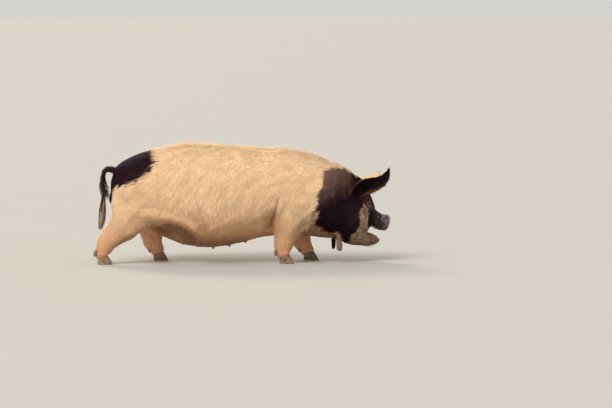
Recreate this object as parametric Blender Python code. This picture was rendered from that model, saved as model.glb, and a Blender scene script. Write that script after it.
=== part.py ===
"""A domestic pig, a stocky hairy sow with throat wattles, as a still life-size model.

She walks with her head low and her mouth open. Metres, +Z up, the nose towards +X, the right flank
towards -Y, the floor at Z = 0. Every named part is its own closed solid, parted by thin cuts.
"""

import math
import random

import bmesh
import bpy
import numpy as np
from mathutils import Matrix, Vector
from mathutils.bvhtree import BVHTree

# Driving dimensions
GAP = 0.0003
MOST_SHELL = 3.0
HEAD_TURN = math.radians(9)
TURN_STARTS, TURN_ENDS = 0.44, 0.62
EYE_RADIUS = 0.015
EYE_CENTRE = (0.655, 0.0715, 0.286)
LID_THICKNESS = 0.004
HOOF_LENGTH, HOOF_WIDTH, HOOF_HEIGHT = 0.072, 0.032, 0.040
BODY_VOXEL, BODY_TRIANGLES = 0.010, 3300
HEAD_VOXEL, HEAD_TRIANGLES = 0.0045, 2700
SEED = 7
SHARP_FROM = math.radians(38)

# Sections of the trunk, from the rump along the back to the brow: place along X, top line, under
# line, half width, height of the widest point as a share of the depth, roundness above and below.
TRUNK = (
    (-0.620, 0.392, 0.345, 0.020, 0.50, 2.0, 2.0),
    (-0.609, 0.444, 0.285, 0.075, 0.50, 2.0, 2.0),
    (-0.588, 0.478, 0.240, 0.120, 0.50, 2.1, 2.0),
    (-0.550, 0.507, 0.208, 0.155, 0.52, 2.2, 2.0),
    (-0.505, 0.528, 0.190, 0.174, 0.52, 2.2, 2.0),
    (-0.425, 0.556, 0.165, 0.190, 0.50, 2.3, 2.0),
    (-0.350, 0.570, 0.122, 0.200, 0.50, 2.3, 1.9),
    (-0.250, 0.579, 0.086, 0.212, 0.48, 2.3, 2.0),
    (-0.150, 0.583, 0.072, 0.218, 0.46, 2.3, 2.1),
    (-0.050, 0.579, 0.079, 0.217, 0.46, 2.3, 2.2),
    (0.055, 0.574, 0.103, 0.208, 0.46, 2.3, 2.2),
    (0.125, 0.571, 0.120, 0.198, 0.46, 2.2, 2.2),
    (0.200, 0.567, 0.131, 0.188, 0.46, 2.2, 2.2),
    (0.275, 0.561, 0.138, 0.180, 0.45, 2.1, 2.2),
    (0.335, 0.551, 0.134, 0.174, 0.44, 2.0, 2.2),
    (0.395, 0.535, 0.124, 0.170, 0.42, 1.9, 2.2),
    (0.455, 0.513, 0.118, 0.166, 0.38, 1.8, 2.3),
    (0.515, 0.486, 0.112, 0.160, 0.31, 1.6, 2.3),
    (0.575, 0.452, 0.100, 0.150, 0.26, 1.42, 2.3),
    (0.615, 0.427, 0.105, 0.136, 0.23, 1.38, 2.2),
    (0.645, 0.403, 0.130, 0.117, 0.23, 1.42, 2.0),
    (0.668, 0.368, 0.156, 0.099, 0.28, 1.55, 2.0),
    (0.684, 0.322, 0.170, 0.082, 0.40, 1.8, 2.0),
    (0.696, 0.290, 0.182, 0.059, 0.50, 2.0, 2.0),
    (0.702, 0.265, 0.205, 0.030, 0.50, 2.0, 2.0),
)
TRUNK_RINGS, TRUNK_SIDES = 140, 56

# Sections of the muzzle and of the lower jaw, with the same columns.
MUZZLE = (
    (0.610, 0.310, 0.160, 0.118, 0.46, 1.9, 2.2),
    (0.650, 0.298, 0.168, 0.104, 0.44, 1.9, 2.2),
    (0.685, 0.276, 0.166, 0.084, 0.42, 1.9, 2.2),
    (0.710, 0.253, 0.156, 0.066, 0.40, 2.0, 2.3),
    (0.732, 0.237, 0.149, 0.054, 0.42, 2.2, 2.3),
    (0.748, 0.230, 0.149, 0.047, 0.48, 2.2, 2.2),
    (0.757, 0.231, 0.148, 0.0485, 0.48, 2.2, 2.2),
    (0.766, 0.231, 0.149, 0.0485, 0.48, 2.2, 2.2),
    (0.773, 0.227, 0.153, 0.0445, 0.48, 2.2, 2.2),
)
DISC_LEAN, DISC_HEIGHT = 0.22, 0.190
JAW = (
    (0.545, 0.180, 0.094, 0.090, 0.50, 2.0, 2.2),
    (0.585, 0.185, 0.084, 0.094, 0.50, 2.0, 2.2),
    (0.625, 0.180, 0.079, 0.084, 0.50, 2.0, 2.2),
    (0.652, 0.166, 0.076, 0.069, 0.50, 2.2, 2.2),
    (0.672, 0.146, 0.076, 0.056, 0.50, 2.3, 2.2),
    (0.690, 0.126, 0.080, 0.046, 0.50, 2.3, 2.2),
    (0.710, 0.116, 0.087, 0.037, 0.52, 2.3, 2.2),
    (0.724, 0.112, 0.095, 0.026, 0.52, 2.2, 2.2),
    (0.731, 0.108, 0.101, 0.012, 0.52, 2.0, 2.0),
)
# The gape between them, which narrows to the throat behind the corners of the mouth.
GAPE = (
    (0.622, 0.150, 0.140, 0.010, 0.50, 2.0, 2.0),
    (0.640, 0.166, 0.134, 0.030, 0.50, 2.2, 2.2),
    (0.658, 0.177, 0.140, 0.046, 0.50, 2.4, 2.4),
    (0.670, 0.180, 0.140, 0.088, 0.50, 3.0, 3.0),
    (0.690, 0.172, 0.126, 0.095, 0.50, 3.0, 3.0),
    (0.714, 0.157, 0.114, 0.095, 0.50, 3.0, 3.0),
    (0.760, 0.148, 0.100, 0.095, 0.50, 3.0, 3.0),
    (0.800, 0.144, 0.085, 0.095, 0.50, 3.0, 3.0),
)

NOSTRIL = {"centre": (0.774, 0.0185, 0.196), "radii": (0.020, 0.0085, 0.0105)}

# Sections down each leg: X, Z, distance from the middle plane, half depth, half width.
LEGS = {
    "hind_leg_right": (
        (-0.505, 0.385, -0.075, 0.100, 0.070),
        (-0.512, 0.300, -0.098, 0.108, 0.074),
        (-0.522, 0.238, -0.110, 0.102, 0.068),
        (-0.552, 0.188, -0.118, 0.082, 0.058),
        (-0.592, 0.152, -0.124, 0.064, 0.048),
        (-0.628, 0.122, -0.128, 0.053, 0.041),
        (-0.650, 0.086, -0.130, 0.044, 0.035),
        (-0.662, 0.056, -0.132, 0.0375, 0.0350),
        (-0.656, 0.034, -0.132, 0.0340, 0.0320),
    ),
    "hind_leg_left": (
        (-0.480, 0.385, 0.075, 0.100, 0.070),
        (-0.462, 0.300, 0.098, 0.108, 0.074),
        (-0.436, 0.230, 0.110, 0.092, 0.066),
        (-0.418, 0.172, 0.118, 0.073, 0.055),
        (-0.414, 0.124, 0.124, 0.056, 0.043),
        (-0.407, 0.084, 0.126, 0.045, 0.035),
        (-0.392, 0.056, 0.128, 0.0375, 0.0350),
        (-0.380, 0.034, 0.128, 0.0340, 0.0320),
    ),
    "fore_leg_right": (
        (0.300, 0.385, -0.085, 0.095, 0.055),
        (0.285, 0.300, -0.108, 0.100, 0.064),
        (0.268, 0.228, -0.118, 0.088, 0.062),
        (0.254, 0.172, -0.122, 0.072, 0.053),
        (0.243, 0.128, -0.124, 0.058, 0.045),
        (0.236, 0.088, -0.126, 0.047, 0.041),
        (0.234, 0.058, -0.126, 0.0375, 0.0350),
        (0.242, 0.034, -0.126, 0.0340, 0.0320),
    ),
    "fore_leg_left": (
        (0.310, 0.385, 0.085, 0.095, 0.055),
        (0.308, 0.300, 0.108, 0.098, 0.064),
        (0.310, 0.228, 0.118, 0.084, 0.062),
        (0.320, 0.165, 0.122, 0.066, 0.052),
        (0.332, 0.118, 0.124, 0.053, 0.045),
        (0.344, 0.084, 0.126, 0.045, 0.041),
        (0.361, 0.056, 0.126, 0.0375, 0.0350),
        (0.375, 0.034, 0.126, 0.0340, 0.0320),
    ),
}
LEG_RINGS, LEG_SIDES = 40, 28

# Rounded forms laid over the trunk and head: centre on the left side, radii, mirrored or not.
SWELLS = (
    ((0.285, 0.118, 0.330), (0.120, 0.062, 0.150), True),
    ((-0.480, 0.110, 0.340), (0.120, 0.072, 0.130), True),
    ((0.560, 0.092, 0.185), (0.075, 0.066, 0.082), True),
    ((-0.602, 0.000, 0.396), (0.020, 0.022, 0.020), False),
    ((-0.604, 0.000, 0.318), (0.028, 0.020, 0.040), False),
    ((-0.578, 0.000, 0.270), (0.030, 0.018, 0.050), False),
)
FLANK_FOLD = (
    ((-0.520, 0.115, 0.262), 0.050),
    ((-0.465, 0.132, 0.252), 0.047),
    ((-0.410, 0.141, 0.247), 0.042),
    ((-0.355, 0.148, 0.248), 0.038),
    ((-0.300, 0.153, 0.240), 0.037),
    ((-0.245, 0.156, 0.216), 0.036),
    ((-0.200, 0.150, 0.184), 0.036),
    ((-0.160, 0.130, 0.158), 0.034),
    ((-0.120, 0.100, 0.140), 0.030),
)
BROW = ((0.648, 0.067, 0.306), (0.030, 0.013, 0.010))
# The fold's lower edge, X and Z, and how deep the belly is hollowed beneath it.
FOLD_EDGE = (
    (-0.500, 0.138),
    (-0.462, 0.145),
    (-0.405, 0.178),
    (-0.332, 0.202),
    (-0.270, 0.186),
    (-0.215, 0.154),
    (-0.175, 0.105),
)
HOLLOW_DEPTH = 0.022

# The ear's middle line on the left side: place, half width, half angle of the curl.
EAR = (
    ((0.572, 0.046, 0.356), 0.028, 118),
    ((0.600, 0.074, 0.378), 0.035, 112),
    ((0.628, 0.096, 0.389), 0.040, 88),
    ((0.660, 0.111, 0.395), 0.039, 66),
    ((0.692, 0.121, 0.403), 0.034, 54),
    ((0.719, 0.127, 0.419), 0.027, 44),
    ((0.738, 0.129, 0.441), 0.016, 34),
    ((0.748, 0.129, 0.466), 0.003, 26),
)
EAR_FACES = (0.30, 0.88, -0.30)
EAR_ROWS, EAR_COLUMNS = 13, 8
EAR_THICK_ROOT, EAR_THICK_TIP = 0.0065, 0.0028

# The tail's middle line, from its root over the arch to where the switch begins: place, radius.
TAIL = (
    ((-0.575, 0.000, 0.440), 0.0200),
    ((-0.600, 0.002, 0.457), 0.0165),
    ((-0.625, 0.004, 0.464), 0.0135),
    ((-0.646, 0.006, 0.458), 0.0115),
    ((-0.656, 0.008, 0.436), 0.0100),
    ((-0.659, 0.008, 0.405), 0.0085),
    ((-0.656, 0.006, 0.374), 0.0072),
    ((-0.652, 0.003, 0.345), 0.0060),
    ((-0.651, 0.000, 0.312), 0.0050),
    ((-0.654, -0.002, 0.275), 0.0036),
    ((-0.658, -0.003, 0.240), 0.0018),
)
TAIL_RINGS, TAIL_SIDES = 22, 8
TAIL_PARTING_ROW = 14
TAIL_PARTING = 0.345

# Each wattle's root in the throat and how far its tip swings forward; then its radius down its length.
WATTLES = {
    "wattle_right": ((0.503, -0.108, 0.160), 0.006),
    "wattle_left": ((0.512, 0.090, 0.150), -0.008),
}
WATTLE_LENGTH, WATTLE_RADIUS, WATTLE_FLARE, WATTLE_FLATTEN = 0.100, 0.0125, 0.014, 0.8
WATTLE_SWELL = ((0.0, 1.35), (0.3, 0.95), (0.75, 1.10), (0.93, 0.85), (1.0, 0.3))
WATTLE_RINGS, WATTLE_SIDES = 9, 12

TEAT_PLACES = (-0.335, -0.265, -0.190, -0.110, -0.030, 0.050)
TEAT_SPREAD, TEAT_RADIUS, TEAT_LENGTH, TEAT_SUNK, TEAT_SIDES = 0.060, 0.0060, 0.012, 0.006, 7
# Down a teat: how far out as a share of its length, and its radius as a share of its own.
TEAT_STEPS = ((0.25, 1.0), (0.8, 0.88), (1.0, 0.45))
TEAT_ROOT_SWELL, TEAT_HANG = 1.35, 0.6

# A lock's width and thickness at its root and along it, as shares of its full ones.
LOCK_TAPER = ((0.90, 1.0), (1.0, 0.85), (0.72, 0.6))
# The bristles along the back: places along X, how far a tip stands off the back there.
CREST_STAND = (
    (-0.560, 0.003),
    (-0.400, 0.005),
    (-0.300, 0.010),
    (-0.200, 0.017),
    (-0.100, 0.013),
    (0.000, 0.006),
    (0.200, 0.005),
    (0.380, 0.007),
    (0.560, 0.008),
)
CREST_ROWS, CREST_STEP, CREST_SPREAD = 4, 0.075, 0.055
CREST_LENGTH, CREST_WIDTH, CREST_THICK, LOCK_SUNK = 0.098, 0.023, 0.0034, 0.009
CREST_FROM, CREST_TO = -0.500, 0.560
CUT_MARGIN, NECK_CUT_LEAN = 0.003, 0.06
CREST_STRAY, CREST_VARIES, CREST_FAN = 0.007, (0.85, 1.15), 0.30
# Along a crest lock: shares of its length, then how far it lies off the back from its root on.
CREST_STEPS, CREST_OFF = (0.33, 0.68, 1.0), 0.0022
# Bristles on the tail, and the tassel at its end.
TAIL_BRISTLES, BRISTLE_LENGTH, BRISTLE_WIDTH = 13, 0.040, 0.0085
BRISTLES_FROM, BRISTLES_TO = 0.42, 0.96
# Along a bristle: how far down the tail and how far out, as shares of its length.
BRISTLE_STEPS = ((0.285, 0.34), (0.608, 0.50), (0.95, 0.60))
TASSEL_LOCKS, TASSEL_WIDTH, TASSEL_THICK = 7, 0.0150, 0.0036
TASSEL_END, TASSEL_SPREAD, TASSEL_RAGGED = (-0.672, -0.003, 0.160), 0.0100, 0.055
# Between a tassel lock's ends: shares of its length and of the tassel's spread.
TASSEL_STEPS = ((0.30, 1.0), (0.66, 0.85))
# The turn from each bristle or lock to the next round the tail, in radians.
GOLDEN_TURN = 2.4

LEFT_EAR_LIFT = (0.010, 0.000, -0.026)

# Where the parts meet. The legs' blocks: side, behind, ahead, height of the cut inside and outside.
HEAD_PARTING = ((0.512, 0.0, 0.290), (0.955, 0.0, -0.295))
NECK_FROM, SHOULDERS_FROM, BARREL_FROM = 0.375, 0.120, -0.330
TRUNK_PARTINGS = {
    "neck": (NECK_FROM, (0.97, 0.0, -0.24)),
    "shoulders": (SHOULDERS_FROM, (1, 0, 0)),
    "barrel": (BARREL_FROM, (1, 0, 0)),
}
LEG_PARTING_INNER, LEG_PARTING_OUTER = 0.040, 0.300
LEG_BLOCKS = {
    "hind_leg_right": (-1, -0.760, -0.425, 0.150, 0.290),
    "hind_leg_left": (1, -0.600, -0.335, 0.150, 0.230),
    "fore_leg_right": (-1, 0.160, 0.370, 0.115, 0.260),
    "fore_leg_left": (1, 0.230, 0.480, 0.115, 0.260),
}
HEAD_PARTS = {
    "snout": ((0.722, -0.12, 0.130), (0.90, 0.12, 0.30), 0.0),
    "lower_jaw": ((0.628, -0.15, 0.030), (0.90, 0.15, 0.149), 0.0),
}

TONGUE = (
    (0.640, 0.135, 0.105, 0.018, 0.50, 2.0, 2.0),
    (0.655, 0.146, 0.100, 0.026, 0.50, 2.0, 2.0),
    (0.680, 0.141, 0.098, 0.029, 0.50, 2.0, 2.0),
    (0.702, 0.131, 0.098, 0.025, 0.50, 2.0, 2.0),
    (0.716, 0.124, 0.101, 0.017, 0.50, 2.0, 2.0),
    (0.722, 0.117, 0.107, 0.006, 0.50, 2.0, 2.0),
)

# Each foot: the tips of its claws, its middle across, and where its dewclaws sit.
FEET = {
    "hind_leg_right": (-0.612, -0.132, -0.694),
    "hind_leg_left": (-0.334, 0.128, -0.420),
    "fore_leg_right": (0.289, -0.126, 0.202),
    "fore_leg_left": (0.423, 0.126, 0.334),
}
# A claw's rings: height, length, width and how far back, as shares of the claw's own sizes.
HOOF_RINGS = (
    (0.00, 0.94, 0.92, 0.00),
    (0.06, 1.00, 1.00, 0.00),
    (0.55, 0.86, 0.96, 0.07),
    (0.96, 0.70, 0.82, 0.13),
    (1.08, 0.36, 0.40, 0.14),
)
HOOF_SIDES = 12
CLAW_SPREAD, CLAW_SPLAY = 0.0195, math.radians(5)
DEWCLAW_SPREAD, DEWCLAW_HEIGHT, DEWCLAW_LEAN = 0.019, 0.056, 0.5
DEWCLAW_RADII = (0.012, 0.0095, 0.019)
# The almond between the lids: its middle from the eye's, its radii and how far its front corner dips.
ALMOND_OFFSET, ALMOND_RADII, ALMOND_TILT = (0.004, 0.018, -0.001), (0.0145, 0.018, 0.0085), 0.34

# Colour and roughness of each part, found by the start of its name.
LOOKS = (
    ("eye", ((0.020, 0.012, 0.010), 0.08)),
    ("ear_left", ((0.62, 0.47, 0.33), 0.70)),
    ("ear", ((0.060, 0.040, 0.048), 0.70)),
    ("head", ((0.050, 0.033, 0.040), 0.72)),
    ("snout", ((0.110, 0.075, 0.085), 0.50)),
    ("lower_jaw", ((0.480, 0.330, 0.250), 0.60)),
    ("tongue", ((0.420, 0.140, 0.110), 0.35)),
    ("wattle_right", ((0.300, 0.230, 0.220), 0.65)),
    ("wattle_left", ((0.050, 0.038, 0.042), 0.65)),
    ("neck", ((0.050, 0.033, 0.040), 0.72)),
    ("tail_switch", ((0.420, 0.360, 0.330), 0.75)),
    ("tail", ((0.030, 0.022, 0.028), 0.75)),
    ("hoof", ((0.230, 0.160, 0.110), 0.45)),
    ("dewclaw", ((0.230, 0.160, 0.110), 0.45)),
    ("", ((0.700, 0.500, 0.340), 0.72)),
)


# Shapes from numbers


def catmull_rom(rows, count):
    """Rows of numbers read off at count even steps along a smooth curve through the given rows."""
    rows = np.array(rows, float)
    padded = np.vstack([2 * rows[0] - rows[1], rows, 2 * rows[-1] - rows[-2]])
    steps = np.linspace(0, len(rows) - 1, count)
    index = np.minimum(steps.astype(int), len(rows) - 2)
    t = (steps - index)[:, None]
    a, b, c, d = (padded[index + k] for k in range(4))
    return 0.5 * (2 * b + (c - a) * t + (2 * a - 5 * b + 4 * c - d) * t**2 + (3 * b - a - 3 * c + d) * t**3)


def smoothstep(value, low, high):
    t = np.clip((value - low) / (high - low), 0, 1)
    return t * t * (3 - 2 * t)


def turned(points):
    """Points of the straight pig, with the neck bent so that the head looks a little to the left."""
    points = np.array(points, float).reshape(-1, 3)
    angle = HEAD_TURN * smoothstep(points[:, 0], TURN_STARTS, TURN_ENDS)
    ahead, side = points[:, 0] - TURN_STARTS, points[:, 1]
    bent = points.copy()
    bent[:, 0] = TURN_STARTS + ahead * np.cos(angle) - side * np.sin(angle)
    bent[:, 1] = ahead * np.sin(angle) + side * np.cos(angle)
    return bent


def mesh_object(name, points, faces):
    mesh = bpy.data.meshes.new(name)
    mesh.from_pydata([tuple(p) for p in points], [], faces)
    mesh.update()
    obj = bpy.data.objects.new(name, mesh)
    bpy.context.scene.collection.objects.link(obj)
    return obj


def tube(name, rings):
    """A closed skin over rings of equal counts of points, each running anticlockwise seen from its end."""
    rings = np.array(rings, float)
    count, sides = rings.shape[:2]
    points = np.vstack([rings.reshape(-1, 3), rings[0].mean(0), rings[-1].mean(0)])
    first, last = len(points) - 2, len(points) - 1
    faces = []
    for s in range(sides):
        n = (s + 1) % sides
        for r in range(count - 1):
            a, b = r * sides, (r + 1) * sides
            faces.append((a + s, b + s, b + n, a + n))
        end = (count - 1) * sides
        faces.append((first, s, n))
        faces.append((last, end + n, end + s))
    obj = mesh_object(name, points, faces)
    face_outward(obj)
    return obj


def face_outward(obj):
    work = bmesh.new()
    work.from_mesh(obj.data)
    bmesh.ops.recalc_face_normals(work, faces=work.faces)
    if work.calc_volume(signed=True) < 0:
        bmesh.ops.reverse_faces(work, faces=work.faces)
    work.to_mesh(obj.data)
    work.free()


def section_ring(row, sides):
    """One upright section of the trunk: two half superellipses that meet at the widest height."""
    x, top, under, half, wide, above, below = row
    angle = np.linspace(0, 2 * math.pi, sides, endpoint=False)
    across, up = np.cos(angle), np.sin(angle)
    power = 2 / np.where(up >= 0, above, below)
    middle = under + wide * (top - under)
    reach = np.where(up >= 0, top - middle, middle - under)
    y = half * np.sign(across) * np.abs(across) ** power
    z = middle + reach * np.sign(up) * np.abs(up) ** power
    return np.stack([np.full(sides, x), y, z], 1)


def section_loft(name, table, rings, sides):
    rows = catmull_rom(table, rings)
    return tube(name, [section_ring(row, sides) for row in rows])


def leg_loft(name, table):
    rows = catmull_rom(table, LEG_RINGS)
    along = np.gradient(rows[:, :2], axis=0)
    along /= np.linalg.norm(along, axis=1)[:, None]
    angle = np.linspace(0, 2 * math.pi, LEG_SIDES, endpoint=False)
    rings = []
    for (x, z, y, depth, width), (ax, az) in zip(rows, along):
        fore = depth * np.cos(angle)
        rings.append(np.stack([x - az * fore, y + width * np.sin(angle), z + ax * fore], 1))
    return tube(name, rings)


def round_tube(name, centres, radii, sides, flatten=1.0):
    """A round tube along a path, its sections kept from twisting. flatten thins it across the path."""
    centres = np.array(centres, float)
    along = np.gradient(centres, axis=0)
    along /= np.linalg.norm(along, axis=1)[:, None]
    side = np.cross(along[0], (0, 1, 0))
    if np.linalg.norm(side) < 0.1:
        side = np.cross(along[0], (1, 0, 0))
    angle = np.linspace(0, 2 * math.pi, sides, endpoint=False)
    rings = []
    for centre, radius, way in zip(centres, radii, along):
        side = side - way * (side @ way)
        side /= np.linalg.norm(side)
        other = np.cross(way, side)
        rings.append(
            centre
            + radius * np.outer(np.cos(angle), side)
            + radius * flatten * np.outer(np.sin(angle), other)
        )
    return tube(name, rings)


def ellipsoid(name, centre, radii, segments=24, rings=14, tilt=0.0):
    mesh = bpy.data.meshes.new(name)
    work = bmesh.new()
    bmesh.ops.create_uvsphere(work, u_segments=segments, v_segments=rings, radius=1)
    place = Matrix.Translation(centre) @ Matrix.Rotation(tilt, 4, "Y") @ Matrix.Diagonal((*radii, 1))
    bmesh.ops.transform(work, matrix=place, verts=work.verts)
    work.to_mesh(mesh)
    work.free()
    obj = bpy.data.objects.new(name, mesh)
    bpy.context.scene.collection.objects.link(obj)
    return obj


def box(name, low, high):
    work = bmesh.new()
    bmesh.ops.create_cube(work, size=1)
    size = Vector(high) - Vector(low)
    middle = (Vector(high) + Vector(low)) / 2
    place = Matrix.Translation(middle) @ Matrix.Diagonal((*size, 1))
    bmesh.ops.transform(work, matrix=place, verts=work.verts)
    mesh = bpy.data.meshes.new(name)
    work.to_mesh(mesh)
    work.free()
    obj = bpy.data.objects.new(name, mesh)
    bpy.context.scene.collection.objects.link(obj)
    return obj


# Work on whole objects


def settle(obj):
    """Replaces an object's mesh with what its modifiers make of it."""
    graph = bpy.context.evaluated_depsgraph_get()
    mesh = bpy.data.meshes.new_from_object(obj.evaluated_get(graph))
    obj.modifiers.clear()
    obj.data = mesh
    return obj


def remove(*objects):
    for obj in objects:
        bpy.data.objects.remove(obj)


def duplicate(obj, name):
    copy = obj.copy()
    copy.data = obj.data.copy()
    copy.name = name
    bpy.context.scene.collection.objects.link(copy)
    return copy


def fused(name, pieces):
    """One solid from several that overlap, and the pieces gone."""
    base, others = pieces[0], pieces[1:]
    if others:
        group = bpy.data.collections.new("pieces")
        bpy.context.scene.collection.children.link(group)
        for piece in others:
            group.objects.link(piece)
        union = base.modifiers.new("union", "BOOLEAN")
        union.operation = "UNION"
        union.solver = "MANIFOLD"
        union.operand_type = "COLLECTION"
        union.collection = group
        settle(base)
        remove(*others)
        bpy.data.collections.remove(group)
    base.name = name
    return base


def boolean(obj, cutter, operation):
    step = obj.modifiers.new(operation, "BOOLEAN")
    step.operation = operation
    step.solver = "MANIFOLD"
    step.object = cutter
    return settle(obj)


def grown(obj, name, distance):
    """A copy of a solid with every face moved outwards by a distance."""
    copy = duplicate(obj, name)
    work = bmesh.new()
    work.from_mesh(copy.data)
    work.normal_update()
    moves = [v.normal * distance * min(v.calc_shell_factor(), MOST_SHELL) for v in work.verts]
    for vertex, move in zip(work.verts, moves):
        vertex.co += move
    work.to_mesh(copy.data)
    work.free()
    return copy


def largest_only(obj):
    """Drops every loose scrap and keeps the largest closed surface."""
    work = bmesh.new()
    work.from_mesh(obj.data)
    bmesh.ops.remove_doubles(work, verts=work.verts, dist=1e-6)
    left, islands = set(work.faces), []
    while left:
        island, edge_of_island = set(), [left.pop()]
        while edge_of_island:
            face = edge_of_island.pop()
            island.add(face)
            for edge in face.edges:
                for other in edge.link_faces:
                    if other in left:
                        left.discard(other)
                        edge_of_island.append(other)
        islands.append(island)
    keep = max(islands, key=lambda faces: sum(f.calc_area() for f in faces))
    bmesh.ops.delete(work, geom=[f for f in work.faces if f not in keep], context="FACES")
    bmesh.ops.triangulate(work, faces=work.faces)
    work.to_mesh(obj.data)
    work.free()
    return obj


def rounded(obj, voxel, passes, triangles, carve=None):
    """Melts fused forms into one smooth skin of about so many triangles, carved before it is thinned."""
    remesh = obj.modifiers.new("melt", "REMESH")
    remesh.mode = "VOXEL"
    remesh.voxel_size = voxel
    smooth = obj.modifiers.new("smooth", "SMOOTH")
    smooth.factor = 0.5
    smooth.iterations = passes
    settle(obj)
    if carve:
        carve(obj)
    thin = obj.modifiers.new("thin", "DECIMATE")
    thin.ratio = triangles / (2 * len(obj.data.polygons))
    return settle(obj)


def swell(name, centre, radii, mirrored):
    sides = (1, -1) if mirrored else (1,)
    return [ellipsoid(f"{name}{s}", (centre[0], centre[1] * s, centre[2]), radii) for s in sides]


def bend_all(objects):
    for obj in objects:
        points = np.array([v.co for v in obj.data.vertices], float).reshape(-1, 3)
        obj.data.vertices.foreach_set("co", turned(points).astype(np.float32).ravel())
        obj.data.update()


# The parts of the pig


def body_pieces():
    pieces = [section_loft("trunk", TRUNK, TRUNK_RINGS, TRUNK_SIDES)]
    pieces += [leg_loft(name + "_form", table) for name, table in LEGS.items()]
    for number, (centre, radii, mirrored) in enumerate(SWELLS):
        pieces += swell(f"swell{number}", centre, radii, mirrored)
    return pieces + flank_folds()


def lean(muzzle):
    """Leans the snout's disc so that it faces a little downwards."""
    for vertex in muzzle.data.vertices:
        x, _, z = vertex.co
        vertex.co.x += DISC_LEAN * (z - DISC_HEIGHT) * float(smoothstep(x, MUZZLE[3][0], MUZZLE[6][0]))


def flank_folds():
    """The skin that hangs from each stifle forward along the flank, over the belly."""
    folds = []
    for side in (1, -1):
        rows = catmull_rom([(x, y * side, z, radius) for (x, y, z), radius in FLANK_FOLD], 24)
        folds.append(round_tube(f"fold{side}", rows[:, :3], rows[:, 3], 14))
    return folds


def head_pieces():
    pieces = [section_loft("crown", TRUNK, TRUNK_RINGS, TRUNK_SIDES)]
    muzzle = section_loft("muzzle", MUZZLE, 48, 40)
    lean(muzzle)
    pieces.append(muzzle)
    pieces.append(section_loft("jaw", JAW, 40, 40))
    pieces += swell("jowl", *SWELLS[2])
    pieces += swell("brow", *BROW, True)
    for side in (1, -1):
        lid_radius = EYE_RADIUS + LID_THICKNESS
        centre = (EYE_CENTRE[0], EYE_CENTRE[1] * side, EYE_CENTRE[2])
        pieces.append(ellipsoid(f"lids{side}", centre, (lid_radius,) * 3))
    return pieces


def leg_share(points):
    """1 on the columns of the lower legs, 0 on the body above and between them."""
    best = np.full(len(points), np.inf)
    for table in LEGS.values():
        rows = np.array(table)[::-1]
        x, y, depth, width = (np.interp(points[:, 2], rows[:, 1], rows[:, k]) for k in (0, 2, 3, 4))
        away = np.hypot((points[:, 0] - x) / (1.30 * depth), (points[:, 1] - y) / (1.35 * width))
        best = np.minimum(best, away)
    return (1 - smoothstep(best, 0.95, 1.25)) * (1 - smoothstep(points[:, 2], 0.19, 0.27))


def hollow_under_folds(body):
    """Sinks the belly beneath the flank's folds, so that their edges overhang it."""
    mesh = body.data
    points = np.array([v.co for v in mesh.vertices])
    normals = np.array([v.normal for v in mesh.vertices])
    below = np.interp(points[:, 0], *zip(*FOLD_EDGE)) - points[:, 2]
    share = smoothstep(below, -0.004, 0.012) * (1 - smoothstep(below, 0.050, 0.090))
    share *= smoothstep(points[:, 0], -0.50, -0.45) * (1 - smoothstep(points[:, 0], -0.215, -0.165))
    share *= (np.abs(points[:, 1]) > 0.03) * (1 - leg_share(points))
    points -= normals * (HOLLOW_DEPTH * share)[:, None]
    mesh.vertices.foreach_set("co", points.astype(np.float32).ravel())
    mesh.update()


def eye_opening(side):
    """The almond between the lids, which looks outwards, a little forwards and up."""
    middle = [(at + off) for at, off in zip(EYE_CENTRE, ALMOND_OFFSET)]
    middle[1] *= side
    return ellipsoid("almond", middle, ALMOND_RADII, 20, 12, ALMOND_TILT)


def slab(name, point, normal, extra):
    """A great block in front of a plane, moved back by extra."""
    reach = 2.0
    block = box(name, (-extra, -reach / 2, -reach / 2), (reach, reach / 2, reach / 2))
    turn = Vector((1, 0, 0)).rotation_difference(Vector(normal))
    block.data.transform(Matrix.Translation(point) @ turn.to_matrix().to_4x4())
    return block


def head_block(name, low, high, slope, extra):
    """A box in the turned head, tilted about the middle of its bottom, then carried round with the neck."""
    low, high = Vector(low), Vector(high)
    more = Vector((extra, extra, extra))
    block = box(name, low - more, high + more)
    pivot = Matrix.Translation((low.x, 0, low.z))
    block.data.transform(pivot @ Matrix.Rotation(slope, 4, "Y") @ pivot.inverted())
    axis = Matrix.Translation((TURN_STARTS, 0, 0))
    block.data.transform(axis @ Matrix.Rotation(HEAD_TURN, 4, "Z") @ axis.inverted())
    return block


def leg_block(name, side, behind, ahead, inner, outer, extra):
    """A block round the lower leg, its top sloping up and outwards from the belly."""
    near, far = LEG_PARTING_INNER * side, LEG_PARTING_OUTER * side
    points = []
    for x in (behind - extra, ahead + extra):
        points += [(x, near - extra * side, -0.2), (x, near - extra * side, inner + extra)]
        points += [(x, far, outer + extra), (x, far, -0.2)]
    faces = [(0, 1, 2, 3), (7, 6, 5, 4), (0, 4, 5, 1), (1, 5, 6, 2), (2, 6, 7, 3), (3, 7, 4, 0)]
    block = mesh_object(name, points, faces)
    face_outward(block)
    return block


def part_off(rest, name, make_cutter):
    """Takes a piece off the rest with a thin cut between the two. make_cutter(extra) gives the cutter."""
    piece = duplicate(rest, name)
    cutter = make_cutter(-GAP / 2)
    boolean(piece, cutter, "INTERSECT")
    remove(cutter)
    cutter = make_cutter(GAP / 2)
    boolean(rest, cutter, "DIFFERENCE")
    remove(cutter)
    return largest_only(piece)


def clear_of(obj, neighbour):
    """Cuts an object back from its neighbour, with the thin gap between them."""
    cutter = grown(neighbour, "cutter", GAP)
    boolean(obj, cutter, "DIFFERENCE")
    remove(cutter)
    return obj


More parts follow.
